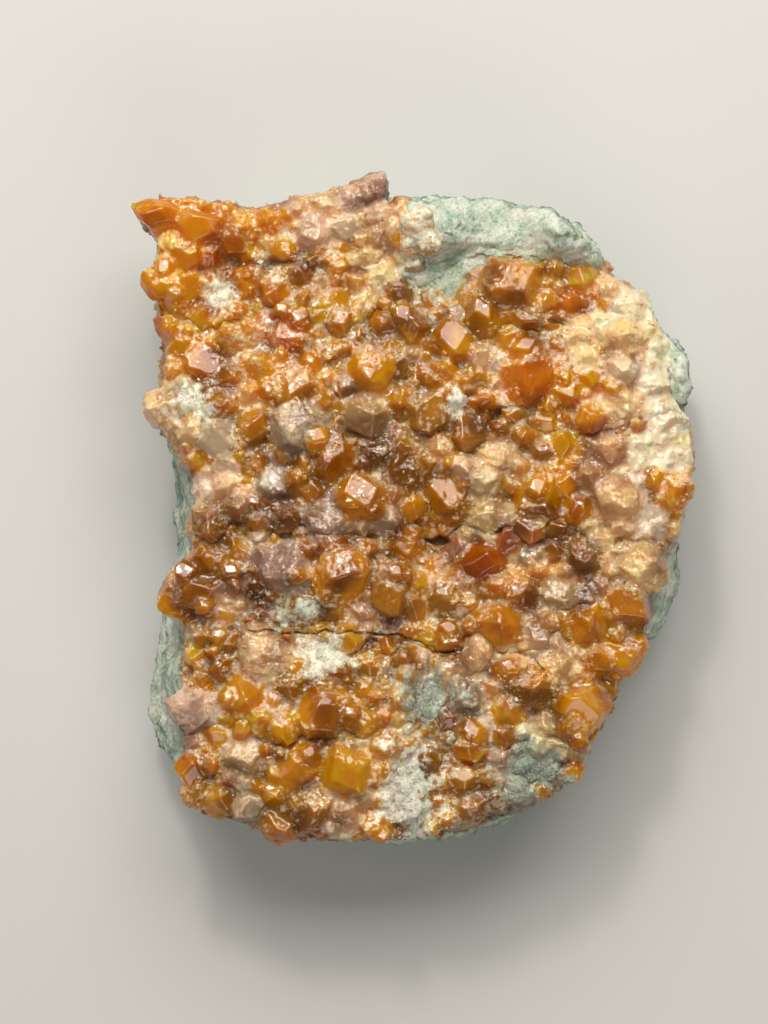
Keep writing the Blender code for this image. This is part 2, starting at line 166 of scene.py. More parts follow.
# Crystals by region: pixel x, pixel y, radius in millimetres and tone. A capital has a face turned to the light
CRYSTALS = {
    "top left spur": [
        (228, 241, 1.4, "o"), (246, 226, 0.9, "a"),
    ],
    "upper edge": [
        (267, 222, 0.95, "a"), (284, 247, 0.95, "M"), (300, 208, 0.9, "p"), (326, 208, 1.0, "P"),
        (346, 228, 1.1, "m"), (312, 232, 1.0, "M"), (371, 193, 1.2, "m"), (350, 200, 0.8, "m"),
        (378, 232, 0.9, "p"), (366, 255, 0.9, "p"), (330, 262, 1.0, "b"), (302, 272, 1.0, "b"),
    ],
    "upper left": [
        (161, 284, 1.2, "O"), (182, 288, 1.3, "o"), (202, 317, 1.1, "o"), (246, 284, 1.45, "O"),
        (169, 327, 1.0, "a"), (252, 333, 1.2, "y"), (204, 363, 1.85, "O"), (289, 331, 1.8, "R"),
        (338, 303, 1.1, "a"), (228, 378, 0.9, "a"), (262, 366, 1.0, "a"), (322, 352, 0.9, "b"),
        (181, 345, 0.8, "o"), (222, 318, 0.8, "o"),
    ],
    "middle left": [
        (300, 389, 1.45, "O"), (297, 428, 2.2, "M"), (332, 456, 1.5, "A"), (367, 417, 1.5, "p"),
        (221, 405, 0.95, "y"), (163, 408, 1.2, "p"), (196, 460, 0.8, "y"), (222, 436, 1.45, "m"),
        (190, 430, 1.1, "p"), (255, 428, 1.1, "a"), (258, 462, 1.0, "b"), (186, 405, 0.9, "p"),
        (345, 388, 0.9, "b"),
    ],
    "upper middle": [
        (386, 325, 1.15, "a"), (415, 328, 1.15, "a"), (371, 373, 1.4, "o"), (398, 368, 0.9, "b"),
        (396, 296, 1.0, "b"), (366, 300, 0.9, "p"), (398, 402, 1.0, "a"), (432, 300, 0.8, "a"),
        (358, 337, 0.8, "b"),
    ],
    "upper right": [
        (512, 287, 2.0, "a"), (551, 268, 0.95, "y"), (579, 276, 1.15, "a"), (571, 303, 1.3, "r"),
        (485, 322, 1.3, "A"), (523, 318, 1.0, "A"), (452, 340, 1.5, "A"), (508, 340, 1.2, "y"),
        (527, 378, 1.8, "r"), (500, 362, 1.1, "M"), (564, 391, 1.15, "O"), (586, 377, 0.75, "o"),
        (444, 372, 0.95, "a"), (425, 413, 1.65, "b"), (464, 434, 1.65, "b"), (541, 421, 0.95, "a"),
        (588, 418, 1.0, "y"), (562, 444, 0.9, "o"), (476, 380, 1.0, "b"), (470, 300, 1.0, "a"),
        (514, 412, 1.1, "b"), (484, 400, 0.9, "a"), (554, 345, 0.9, "b"),
    ],
    "pale band": [
        (628, 310, 1.4, "c"), (578, 340, 1.3, "p"), (584, 362, 1.0, "p"), (622, 340, 1.4, "p"),
        (616, 402, 1.6, "p"), (652, 350, 1.2, "c"), (650, 385, 1.3, "c"), (662, 424, 1.4, "c"),
        (640, 448, 1.4, "c"), (606, 450, 1.3, "p"), (676, 492, 1.15, "y"), (650, 520, 1.5, "c"),
        (614, 498, 1.4, "p"), (640, 566, 1.75, "p"), (626, 605, 1.7, "b"), (665, 460, 1.3, "c"),
        (598, 540, 1.2, "p"), (590, 478, 1.0, "p"),
    ],
    "centre": [
        (227, 488, 1.1, "p"), (211, 523, 1.3, "b"), (238, 547, 1.1, "a"), (275, 484, 1.25, "M"),
        (313, 492, 0.95, "y"), (327, 518, 1.75, "M"), (362, 498, 1.4, "C"), (384, 520, 1.0, "M"),
        (402, 538, 1.5, "a"), (332, 545, 1.3, "r"), (287, 566, 1.65, "m"), (341, 573, 1.8, "O"),
        (431, 566, 1.1, "a"), (444, 494, 2.0, "A"), (489, 516, 1.1, "p"), (499, 459, 1.2, "p"),
        (388, 593, 1.45, "b"), (412, 606, 1.3, "b"), (259, 520, 0.9, "b"), (288, 518, 0.9, "b"),
        (368, 548, 0.9, "b"), (402, 470, 1.1, "a"), (378, 450, 1.0, "b"), (412, 508, 1.0, "a"),
    ],
    "left edge": [
        (204, 590, 2.05, "a"), (226, 601, 0.75, "P"), (240, 604, 0.65, "P"), (303, 608, 1.35, "y"),
        (250, 622, 0.9, "b"), (255, 585, 0.9, "b"), (262, 555, 0.8, "m"), (208, 634, 0.9, "b"),
    ],
    "middle right": [
        (538, 498, 1.65, "O"), (566, 483, 0.95, "o"),
        (587, 624, 1.65, "a"), (560, 594, 1.2, "M"), (584, 597, 0.9, "M"), (500, 626, 1.8, "o"),
        (449, 641, 1.2, "A"), (447, 598, 1.3, "b"), (477, 654, 1.2, "p"), (510, 667, 1.0, "P"),
        (620, 656, 1.5, "o"), (581, 559, 1.3, "b"), (532, 555, 1.05, "M"), (536, 640, 0.95, "M"),
        (552, 528, 1.0, "b"), (520, 592, 0.95, "b"), (598, 660, 1.0, "a"), (560, 668, 0.95, "p"),
    ],
    "lower left": [
        (269, 655, 1.75, "P"), (246, 696, 1.45, "o"), (323, 712, 2.15, "a"), (367, 668, 1.1, "b"),
        (365, 722, 1.3, "O"), (198, 708, 1.5, "m"), (203, 681, 0.9, "a"), (399, 698, 0.95, "b"),
        (290, 688, 1.0, "b"), (244, 757, 1.85, "P"), (299, 765, 1.4, "y"), (346, 765, 1.7, "a"),
        (222, 798, 1.2, "y"), (199, 793, 1.1, "b"), (247, 806, 1.0, "m"), (344, 812, 1.35, "p"),
        (313, 804, 1.4, "b"), (379, 824, 1.1, "O"), (280, 826, 1.2, "o"), (275, 790, 0.95, "a"),
        (192, 768, 1.05, "o"), (218, 735, 1.1, "a"), (385, 742, 1.0, "P"), (377, 775, 1.0, "b"),
        (284, 730, 1.0, "a"), (222, 668, 0.85, "a"), (196, 656, 0.8, "a"),
    ],
    "lower right": [
        (580, 706, 1.7, "o"), (530, 684, 1.75, "b"), (508, 710, 1.05, "a"), (467, 698, 1.1, "M"),
        (431, 757, 1.2, "b"), (468, 748, 1.1, "o"), (471, 806, 1.1, "b"), (498, 757, 1.0, "m"),
        (560, 744, 0.95, "p"), (572, 772, 0.8, "o"), (446, 818, 0.9, "b"), (462, 778, 1.0, "a"),
        (497, 800, 0.95, "b"), (480, 724, 0.9, "C"), (545, 722, 0.9, "p"),
    ],
}

# Long crystals: pixel x, pixel y, the three half sizes in millimetres, bearing of the longest in degrees and tone
LONG = [
    (160, 215, 2.3, 1.25, 1.3, -22, "o"), (198, 229, 2.7, 1.75, 1.7, -16, "o"), (484, 561, 2.4, 1.5, 1.5, -8, "r"),
    (322, 510, 1.9, 1.1, 1.3, 12, "m"), (512, 288, 2.6, 1.8, 1.6, -20, "a"),
]

# Broad tints of the crust: pixel x, pixel y, spread in millimetres and colour
TINTS = [
    (420, 490, 5.0, (0.79, 0.71, 0.62)), (190, 580, 3.0, (0.85, 0.79, 0.79)), (160, 285, 4.0, (1.25, 1.15, 0.80)),
    (650, 400, 5.0, (1.40, 1.42, 1.38)), (290, 595, 3.5, (0.84, 0.81, 0.80)), (560, 620, 4.0, (0.82, 0.73, 0.60)),
    (200, 225, 2.5, (1.20, 1.08, 0.70)), (310, 790, 4.5, (0.94, 0.94, 0.90)), (500, 810, 3.0, (0.80, 0.80, 0.78)),
    (400, 235, 2.5, (1.00, 0.90, 0.76)), (620, 595, 2.5, (0.84, 0.88, 0.86)), (300, 350, 3.5, (0.90, 0.85, 0.82)),
    (530, 575, 2.5, (1.00, 0.92, 0.72)),
]

# Small clear crystals with one bright face, high on the others
BRIGHT = [
    (361, 497, 0.85), (254, 272, 0.5), (482, 315, 0.65), (563, 378, 0.45), (509, 668, 0.5), (384, 742, 0.5),
    (471, 733, 0.5), (448, 630, 0.4), (537, 488, 0.4), (165, 269, 0.4), (207, 562, 0.5), (186, 572, 0.4),
    (176, 293, 0.35), (300, 318, 0.4), (221, 637, 0.35), (229, 696, 0.35), (350, 712, 0.4), (297, 575, 0.35),
    (395, 572, 0.3), (318, 440, 0.5), (404, 316, 0.4), (524, 350, 0.5), (231, 573, 0.45), (204, 605, 0.3),
    (254, 503, 0.35), (287, 635, 0.3), (309, 753, 0.4), (311, 364, 0.4), (284, 250, 0.4), (282, 311, 0.3),
    (338, 266, 0.35), (386, 303, 0.3), (578, 740, 0.3), (555, 783, 0.35), (380, 833, 0.35), (405, 575, 0.25),
    (612, 388, 0.4), (500, 668, 0.3), (372, 508, 0.4),
]

# Crystals that sit on the bare rock: pixel x, pixel y, radius in millimetres and tone
ON_ROCK = [
    (402, 212, 0.9, "p"), (418, 224, 1.0, "p"), (408, 240, 0.9, "a"), (431, 243, 0.8, "p"), (397, 228, 0.9, "p"),
    (400, 254, 0.9, "p"), (417, 260, 0.8, "m"), (434, 275, 0.7, "m"),
    (604, 270, 0.6, "p"), (676, 366, 0.8, "c"), (450, 262, 0.7, "p"), (466, 250, 0.6, "c"), (520, 250, 0.5, "p"),
]

# Left of the spur, where the rim is smooth
SPUR = (165, 215)

# Small crystals between the large ones: how many places are tried, from large to small, and how close they stand
FILL_TRIES = 9000
FILL_RADIUS = (1.40 * MM, 0.45 * MM)
FILL_SPACING = 0.46

# Sugary grains in the gaps
GRAIN_TRIES = 26000
GRAIN_RADIUS = (0.07 * MM, 0.30 * MM)

# Pale powdery patches on the crystals: pixel x, pixel y, half width and half height in pixels, density, whiteness
DUST = [
    (431, 697, 30, 38, 1.0, 0.15), (411, 790, 28, 50, 1.0, 0.9), (323, 654, 26, 24, 0.9, 0.8),
    (459, 404, 13, 16, 0.8, 0.9), (529, 770, 44, 34, 0.8, 0.0), (222, 296, 26, 20, 0.7, 0.7),
    (193, 404, 26, 22, 0.8, 0.7), (300, 608, 26, 24, 0.8, 0.5), (415, 232, 30, 40, 0.55, 0.8),
    (440, 286, 24, 20, 0.8, 0.4), (262, 272, 20, 14, 0.4, 0.8), (355, 740, 40, 30, 0.25, 0.4),
    (250, 345, 30, 26, 0.35, 0.8), (385, 470, 24, 20, 0.3, 0.6), (470, 300, 20, 14, 0.3, 0.5),
    (505, 820, 50, 16, 0.5, 0.0),
]
DUST_TRIES = 9000
DUST_RADIUS = (0.03 * MM, 0.10 * MM)
DUST_TONES = ((0.42, 0.48, 0.38), (0.98, 1.00, 0.82))

# Key light: its bearing is along +Y, and faces turned half way to it look bright from above
KEY_ELEVATION = math.radians(50)


def spot(px, py):
    """The point of the specimen, seen from above, under a pixel of the photograph."""
    return Vector(((px - CENTRE_PX[0]) * PIXEL, (CENTRE_PX[1] - py) * PIXEL, 0.0))


CRUST_EDGE = [spot(px, py) for px, py in CRUST_OUTLINE]


def depth_inside(points):
    """How far points lie inside the crust's outline. It is negative outside."""
    nearest = np.full(len(points), np.inf)
    inside = np.zeros(len(points), bool)
    for a, b in zip(CRUST_EDGE, CRUST_EDGE[1:] + CRUST_EDGE[:1]):
        along = np.array((b - a)[:2])
        away = points - np.array(a[:2])
        share = np.clip(away @ along / (along @ along), 0.0, 1.0)
        nearest = np.minimum(nearest, np.linalg.norm(away - share[:, None] * along, axis=1))
        crosses = (a.y > points[:, 1]) != (b.y > points[:, 1])
        if along[1]:
            inside ^= crosses & (points[:, 0] < a.x + along[0] * (points[:, 1] - a.y) / along[1])
    return np.where(inside, nearest, -nearest)


def rock_rises(points):
    """How far the rock stands up through the crust at each point."""
    rise = np.zeros(len(points))
    for px, py, half_width, half_height, height in ROCK_RISES:
        away = (points - np.array(spot(px, py)[:2])) / (np.array((half_width, half_height)) * MM)
        rise += height * MM / (1.0 + np.linalg.norm(away, axis=1) ** 6)
    return rise


def noise_at(points, size, shift=(0.0, 0.0, 0.0)):
    """Smooth noise at flat points, as the solids' own surface has it."""
    shift = Vector(shift)
    return np.array([noise.noise(Vector((x, y, 0.0)) / size + shift) for x, y in points])


def carved(points):
    """How deep the cracks and hollows go at flat points."""
    points = points.copy()
    points[:, 1] += 0.25 * MM * noise_at(points, 0.8 * MM)
    deep = np.zeros(len(points))
    for row in CRACKS:
        ends = [np.array(spot(px, py)[:2]) for px, py in row]
        for a, b in zip(ends, ends[1:]):
            share = np.clip((points - a) @ (b - a) / ((b - a) @ (b - a)), 0.0, 1.0)
            away = np.linalg.norm(points - a - share[:, None] * (b - a), axis=1) / CRACK_WIDTH
            deep = np.maximum(deep, CRACK_DEPTH * np.exp(-away * away))
    for px, py, half_x, half_y, depth in HOLLOWS:
        away = (points - np.array(spot(px, py)[:2])) / (np.array((half_x, half_y)) * PIXEL)
        deep = np.maximum(deep, depth * MM * np.exp(-np.linalg.norm(away, axis=1) ** 4))
    return deep


def cells_at(points, size):
    """Distance from each flat point to the middle of its cell, in cell sizes."""
    return np.array([noise.voronoi(Vector((x, y, 0.0)) / size)[0][0] for x, y in points])


def crust_heights(points):
    """Height of the crust's bed, from which the crystals stand up."""
    heights = CRUST_LEVEL + BED_WAVE_HEIGHT * noise_at(points, BED_WAVE, (7.0, 3.0, 1.0))
    for px, py, spread, rise in CRUST_RELIEF:
        away = np.linalg.norm(points - np.array(spot(px, py)[:2]), axis=1) / (spread * MM)
        heights += rise * MM * np.exp(-0.5 * away * away)
    inside = np.maximum(0.0, depth_inside(points))
    return heights - EDGE_DROP * np.exp(-inside / EDGE_WIDTH)


def object_from(shape, name):
    mesh = bpy.data.meshes.new(name)
    shape.to_mesh(mesh)
    shape.free()
    made = bpy.data.objects.new(name, mesh)
    bpy.context.scene.collection.objects.link(made)
    return made


def apply_modifiers(thing):
    """Turns what the modifiers show into the object's own mesh."""
    bpy.context.view_layer.update()
    graph = bpy.context.evaluated_depsgraph_get()
    mesh = bpy.data.meshes.new_from_object(thing.evaluated_get(graph))
    thing.modifiers.clear()
    thing.data = mesh
    return mesh


def remeshed(thing, voxel):
    grid = thing.modifiers.new("even grid", "REMESH")
    grid.mode = "VOXEL"
    grid.voxel_size = voxel
    return apply_modifiers(thing)


def places_of(mesh):
    places = np.empty(3 * len(mesh.vertices), np.float32)
    mesh.vertices.foreach_get("co", places)
    return places.reshape(-1, 3).astype(float)


def normals_of(mesh):
    normals = np.empty(3 * len(mesh.vertices), np.float32)
    mesh.vertex_normals.foreach_get("vector", normals)
    return normals.reshape(-1, 3).astype(float)


def move_to(mesh, places):
    mesh.vertices.foreach_set("co", places.astype(np.float32).ravel())
    mesh.update()


def smoothed(thing):
    thing.data.shade_smooth()


class Finish:
    """A node material that is built socket by socket."""

    def __init__(self, name):
        self.material = bpy.data.materials.new(name)
        self.material.use_nodes = True
        self.tree = self.material.node_tree
        self.shader = self.tree.nodes["Principled BSDF"]
        self.output = self.tree.nodes["Material Output"]

    def node(self, kind, links=(), **settings):
        made = self.tree.nodes.new(kind)
        for key, value in settings.items():
            if hasattr(made, key) and key not in made.inputs:
                setattr(made, key, value)
            else:
                made.inputs[key].default_value = value
        for socket, source in dict(links).items():
            self.tree.links.new(source, made.inputs[socket])
        return made

    def set(self, **sockets):
        for name, value in sockets.items():
            self.shader.inputs[name.replace("_", " ")].default_value = value

    def link(self, source, socket):
        self.tree.links.new(source, self.shader.inputs[socket])

    def place(self):
        return self.node("ShaderNodeTexCoord").outputs["Object"]

    def noise(self, size, detail=4.0, roughness=0.6, vector=None):
        made = self.node("ShaderNodeTexNoise", {"Vector": vector or self.place()})
        made.inputs["Scale"].default_value = 1.0 / size
        made.inputs["Detail"].default_value = detail
        made.inputs["Roughness"].default_value = roughness
        return made.outputs["Fac"]

    def ramp(self, source, stops):
        made = self.node("ShaderNodeValToRGB", {"Fac": source})
        elements = made.color_ramp.elements
        elements[0].position, elements[0].color = stops[0][0], (*stops[0][1], 1.0)
        elements[1].position, elements[1].color = stops[-1][0], (*stops[-1][1], 1.0)
        for position, colour in stops[1:-1]:
            elements.new(position).color = (*colour, 1.0)
        return made.outputs["Color"]

    def mix(self, share, first, second, blend="MIX"):
        made = self.tree.nodes.new("ShaderNodeMix")
        made.data_type = "RGBA"
        made.blend_type = blend
        for index, value in ((0, share), (6, first), (7, second)):
            if isinstance(value, bpy.types.NodeSocket):
                self.tree.links.new(value, made.inputs[index])
            elif index == 0:
                made.inputs[index].default_value = value
            else:
                made.inputs[index].default_value = (*value, 1.0)
        return made.outputs[2]

    def scaled(self, source, low, high, from_low=0.0, from_high=1.0):
        made = self.node("ShaderNodeMapRange", {"Value": source})
        for key, value in (("From Min", from_low), ("From Max", from_high), ("To Min", low), ("To Max", high)):
            made.inputs[key].default_value = value
        return made.outputs["Result"]

    def bump(self, height, distance, strength=1.0, normal=None):
        made = self.node("ShaderNodeBump", {"Height": height})
        made.inputs["Distance"].default_value = distance
        if isinstance(strength, bpy.types.NodeSocket):
            self.tree.links.new(strength, made.inputs["Strength"])
        else:
            made.inputs["Strength"].default_value = strength
        if normal:
            self.tree.links.new(normal, made.inputs["Normal"])
        return made.outputs["Normal"]


def facets(finish, normal, size, tilt):
    """A mosaic of tiny faces, each tilted its own way, so that a rough surface glitters."""
    cells = finish.node("ShaderNodeTexVoronoi", {"Vector": finish.place()})
    cells.inputs["Scale"].default_value = 1.0 / size
    centred = finish.node("ShaderNodeVectorMath", {0: cells.outputs["Color"]}, operation="SUBTRACT")
    centred.inputs[1].default_value = (0.5, 0.5, 0.5)
    tilted = finish.node("ShaderNodeVectorMath", {0: centred.outputs[0]}, operation="SCALE")
    if isinstance(tilt, bpy.types.NodeSocket):
        finish.tree.links.new(tilt, tilted.inputs["Scale"])
    else:
        tilted.inputs["Scale"].default_value = tilt
    added = finish.node("ShaderNodeVectorMath", {0: normal, 1: tilted.outputs[0]}, operation="ADD")
    return finish.node("ShaderNodeVectorMath", {0: added.outputs[0]}, operation="NORMALIZE").outputs[0]


def turned_to(finish, direction):
    """How much the surface faces a direction, from -1 to 1."""
    coordinates = finish.node("ShaderNodeTexCoord")
    made = finish.node("ShaderNodeVectorMath", {0: coordinates.outputs["Normal"]}, operation="DOT_PRODUCT")
    made.inputs[1].default_value = Vector(direction).normalized()
    return made.outputs["Value"]


def frost(finish, amount):
    """Share of the surface under a sugary coat: between crystals, in patches, and as painted sheen on sides facing the
    key light.
    """
    kept = finish.node("ShaderNodeAttribute", attribute_name="frost").outputs["Fac"]
    patches = finish.scaled(finish.noise(0.7 * MM, 7.0, 0.72), -1.0, 1.0, 0.28, 0.72)
    # Painted sheen: the more a face turns toward the key light, the more pale coat it gets
    upper = finish.node("ShaderNodeMath", {0: turned_to(finish, (0.0, 0.85, 0.53))}, operation="MULTIPLY")
    upper.inputs[1].default_value = 1.15
    summed = finish.node("ShaderNodeMath", {0: patches, 1: upper.outputs[0]}, operation="ADD")
    summed = finish.node("ShaderNodeMath", {0: summed.outputs[0], 1: kept}, operation="ADD")
    return finish.scaled(summed.outputs[0], 0.0, 1.0, 1.12 - amount, 1.58 - amount)


def specks(finish, tone):
    """Colour of the sugary coat: brown, sandy and cream grains in turn, the palest of them partly painted glints, and
    a pinkish grey painted sheen in places. Pale crystals keep more of their own tone."""
    cells = finish.node("ShaderNodeTexVoronoi", {"Vector": finish.place()})
    cells.inputs["Scale"].default_value = 1.0 / (0.16 * MM)
    broad = finish.scaled(finish.noise(0.8 * MM, 3.0), -0.35, 0.35, 0.3, 0.7)
    parts = finish.node("ShaderNodeSeparateColor", {"Color": cells.outputs["Color"]})
    share = finish.node("ShaderNodeMath", {0: parts.outputs["Red"], 1: broad}, operation="ADD")
    colour = finish.ramp(share.outputs[0], [
        (0.0, (0.40, 0.175, 0.030)), (0.30, (0.60, 0.320, 0.095)), (0.72, (0.76, 0.490, 0.230)),
        (0.88, (0.93, 0.790, 0.590)), (1.0, (1.00, 0.950, 0.860)),
    ])
    # Painted sheen: a pinkish grey laid over the coat in broad patches
    painted_sheen = finish.scaled(finish.noise(1.6 * MM, 2.0), 0.0, 0.75, 0.46, 0.58)
    colour = finish.mix(painted_sheen, colour, (0.66, 0.49, 0.44))
    return finish.mix(finish.scaled(paleness(finish, tone), 0.22, 0.88), colour, tone)


def paleness(finish, tone):
    """1 where the crystals are cream or pink, 0 where they are orange."""
    blue = finish.node("ShaderNodeSeparateColor", {"Color": tone}).outputs["Blue"]
    return finish.scaled(blue, 0.0, 1.0, 0.04, 0.50)


def powder(finish):
    """Colour of the pale powder: grey green to cream white."""
    white = finish.node("ShaderNodeAttribute", attribute_name="white").outputs["Fac"]
    grain = finish.scaled(finish.noise(0.22 * MM, 4.0, 0.7), -0.35, 0.35, 0.3, 0.7)
    share = finish.node("ShaderNodeMath", {0: white, 1: grain}, operation="ADD").outputs[0]
    return finish.ramp(share, [
        (0.0, (0.26, 0.33, 0.25)), (0.45, (0.66, 0.76, 0.56)), (0.80, (1.00, 1.00, 0.76)), (1.0, (1.00, 1.00, 0.86)),
    ])


def powdered(finish):
    """Share of the surface under pale powder, with a ragged fine edge."""
    dust = finish.node("ShaderNodeAttribute", attribute_name="dust").outputs["Fac"]
    ragged = finish.scaled(finish.noise(0.25 * MM, 4.0, 0.7), -0.30, 0.30, 0.3, 0.7)
    share = finish.node("ShaderNodeMath", {0: dust, 1: ragged}, operation="ADD").outputs[0]
    return finish.scaled(share, 0.0, 0.95, 0.25, 0.80)


def kept_in_range(finish, colour):
    """Divides a colour by its red where that is over 1, so that its hue stays."""
    red = finish.node("ShaderNodeSeparateColor", {"Color": colour}).outputs["Red"]
    over = finish.node("ShaderNodeMath", {0: red}, operation="MAXIMUM")
    over.inputs[1].default_value = 1.0
    return finish.node("ShaderNodeVectorMath", {0: colour, 1: over.outputs[0]}, operation="DIVIDE").outputs[0]


def garnet_finish(name, clearness, amount, milk):
    """Clear orange garnet: plain transmission and index, a tone for each crystal, absorption inside."""
    finish = Finish(name)
    tone = finish.node("ShaderNodeAttribute", attribute_name="tone").outputs["Color"]
    pit_shade = finish.node("ShaderNodeAttribute", attribute_name="pit_shade").outputs["Fac"]
    # The coat share includes a painted sheen: more pale coat on the sides turned toward the key light
    coat = frost(finish, amount)
    tint = finish.node("ShaderNodeAttribute", attribute_name="tint").outputs["Color"]
    pale = paleness(finish, tone)
    deep = finish.mix(1.0, tone, (0.84, 0.62, 0.50), "MULTIPLY")
    clouds = finish.node("ShaderNodeMath", {
        0: finish.scaled(finish.noise(0.7 * MM, 3.0, 0.55), 0.0, 0.8, 0.44, 0.64), 1: finish.scaled(pale, 1.0, 0.3),
    }, operation="MULTIPLY").outputs[0]
    inner = finish.mix(clouds, tone, deep)
    colour = finish.mix(1.0, finish.mix(coat, inner, specks(finish, tone)), tint, "MULTIPLY")
    # Painted shade: recesses, cracks and hollows are darkened toward dark red brown, less on pale crystals
    pit_shade = finish.node("ShaderNodeMath", {0: pit_shade, 1: finish.scaled(pale, 1.0, 0.35)},
                      operation="MULTIPLY").outputs[0]
    colour = finish.mix(pit_shade, colour, finish.mix(1.0, colour, (0.32, 0.18, 0.14), "MULTIPLY"))
    dust = powdered(finish)
    finish.link(finish.mix(dust, kept_in_range(finish, colour), powder(finish)), "Base Color")
    rough = finish.node("ShaderNodeMath", {0: finish.scaled(coat, 0.12, 0.20), 1: finish.scaled(dust, 0.0, 0.55)},
                        operation="MAXIMUM")
    finish.link(rough.outputs[0], "Roughness")
    clear = finish.node("ShaderNodeMath", {0: coat, 1: dust}, operation="MAXIMUM").outputs[0]
    finish.link(finish.scaled(clear, clearness, 0.0), "Transmission Weight")
    finish.set(IOR=1.74)
    if milk:
        milky = finish.node("ShaderNodeMath", {0: finish.scaled(dust, 1.0, 0.0), 1: finish.scaled(pale, 1.0, 0.5)},
                            operation="MULTIPLY")
        finish.link(milky.outputs[0], "Subsurface Weight")
        finish.set(Subsurface_Radius=(1.0, 0.35, 0.08), Subsurface_Scale=milk)
    uneven = finish.bump(finish.noise(0.40 * MM, 5.0, 0.65), 0.07 * MM, finish.scaled(clear, 0.08, 0.7))
    tilt = finish.node("ShaderNodeMath", {0: finish.scaled(coat, 0.0, 0.52), 1: finish.scaled(pale, 1.0, 0.55)},
                       operation="MULTIPLY")
    finish.link(facets(finish, uneven, 0.15 * MM, tilt.outputs[0]), "Normal")
    soak = finish.tree.nodes.new("ShaderNodeVolumeAbsorption")
    soak.inputs["Color"].default_value = (0.98, 0.56, 0.08, 1.0)
    soak.inputs["Density"].default_value = 220.0
    finish.tree.links.new(soak.outputs["Volume"], finish.output.inputs["Volume"])
    return finish.material


def dust_finish():
    """Pale powdery grains, dull, each with its own tone."""
    finish = Finish("pale dust")
    tone = finish.node("ShaderNodeAttribute", attribute_name="tone").outputs["Color"]
    fine = finish.noise(0.12 * MM, 3.0, 0.6)
    finish.link(finish.mix(finish.scaled(fine, 0.0, 0.3, 0.4, 0.7), tone, (0.60, 0.64, 0.50)), "Base Color")
    finish.set(Roughness=0.6)
    finish.link(finish.bump(fine, 0.04 * MM, 0.8), "Normal")
    return finish.material


def rock_finish():
    """Pale green fine-grained rock: whitish and mottled on top, blue green and streaked along its walls, with black
    specks in places."""
    finish = Finish("pale green rock")
    along = finish.node("ShaderNodeMapping", {"Vector": finish.place()})
    along.inputs["Scale"].default_value = (1.0, 0.16, 0.5)
    streaks = finish.noise(0.7 * MM, 5.0, 0.7, along.outputs["Vector"])
    broad = finish.noise(1.4 * MM, 7.0, 0.72)
    fine = finish.noise(0.34 * MM, 6.0, 0.75)
    top = finish.scaled(turned_to(finish, (0.0, 0.0, 1.0)), 0.0, 1.0, 0.10, 0.55)
    walls = finish.ramp(finish.scaled(streaks, 0.0, 1.0, 0.32, 0.68), [
        (0.0, (0.08, 0.15, 0.12)), (0.45, (0.25, 0.41, 0.33)), (1.0, (0.52, 0.74, 0.61)),
    ])
    upper = finish.ramp(finish.scaled(broad, 0.0, 1.0, 0.35, 0.65), [
        (0.0, (0.40, 0.53, 0.43)), (0.3, (0.66, 0.84, 0.66)), (0.6, (0.92, 1.00, 0.83)), (1.0, (1.00, 1.00, 0.94)),
    ])
    colour = finish.mix(top, walls, upper)
    colour = finish.mix(finish.scaled(fine, 0.0, 0.8, 0.54, 0.70), colour, (0.96, 1.00, 0.94))
    colour = finish.mix(finish.scaled(fine, 0.75, 0.0, 0.30, 0.46), colour, (0.20, 0.27, 0.20))
    warm = finish.scaled(finish.noise(1.5 * MM, 5.0, 0.7), 0.0, 0.50, 0.56, 0.70)
    colour = finish.mix(warm, colour, (0.86, 0.66, 0.42))
    specks_near = finish.scaled(finish.noise(2.6 * MM, 2.0), 0.0, 1.0, 0.48, 0.56)
    specks_fine = finish.scaled(finish.noise(0.36 * MM, 3.0, 0.8), 0.0, 1.0, 0.57, 0.61)
    black = finish.node("ShaderNodeMath", {0: specks_near, 1: specks_fine}, operation="MULTIPLY").outputs[0]
    walls_only = finish.node("ShaderNodeMath", {0: black, 1: finish.scaled(top, 1.0, 0.15)}, operation="MULTIPLY")
    colour = finish.mix(walls_only.outputs[0], colour, (0.02, 0.02, 0.03))
    finish.link(finish.mix(powdered(finish), colour, powder(finish)), "Base Color")
    finish.link(finish.scaled(fine, 0.5, 0.8), "Roughness")
    uneven = finish.bump(streaks, 0.12 * MM, 0.7)
    grain = finish.bump(fine, 0.24 * MM, 1.0, uneven)
    finish.link(facets(finish, grain, 0.16 * MM, 0.5), "Normal")
    return finish.material


def plain_finish(name, colour, roughness):
    finish = Finish(name)
    finish.set(Base_Color=(*colour, 1.0), Roughness=roughness)
    return finish.material


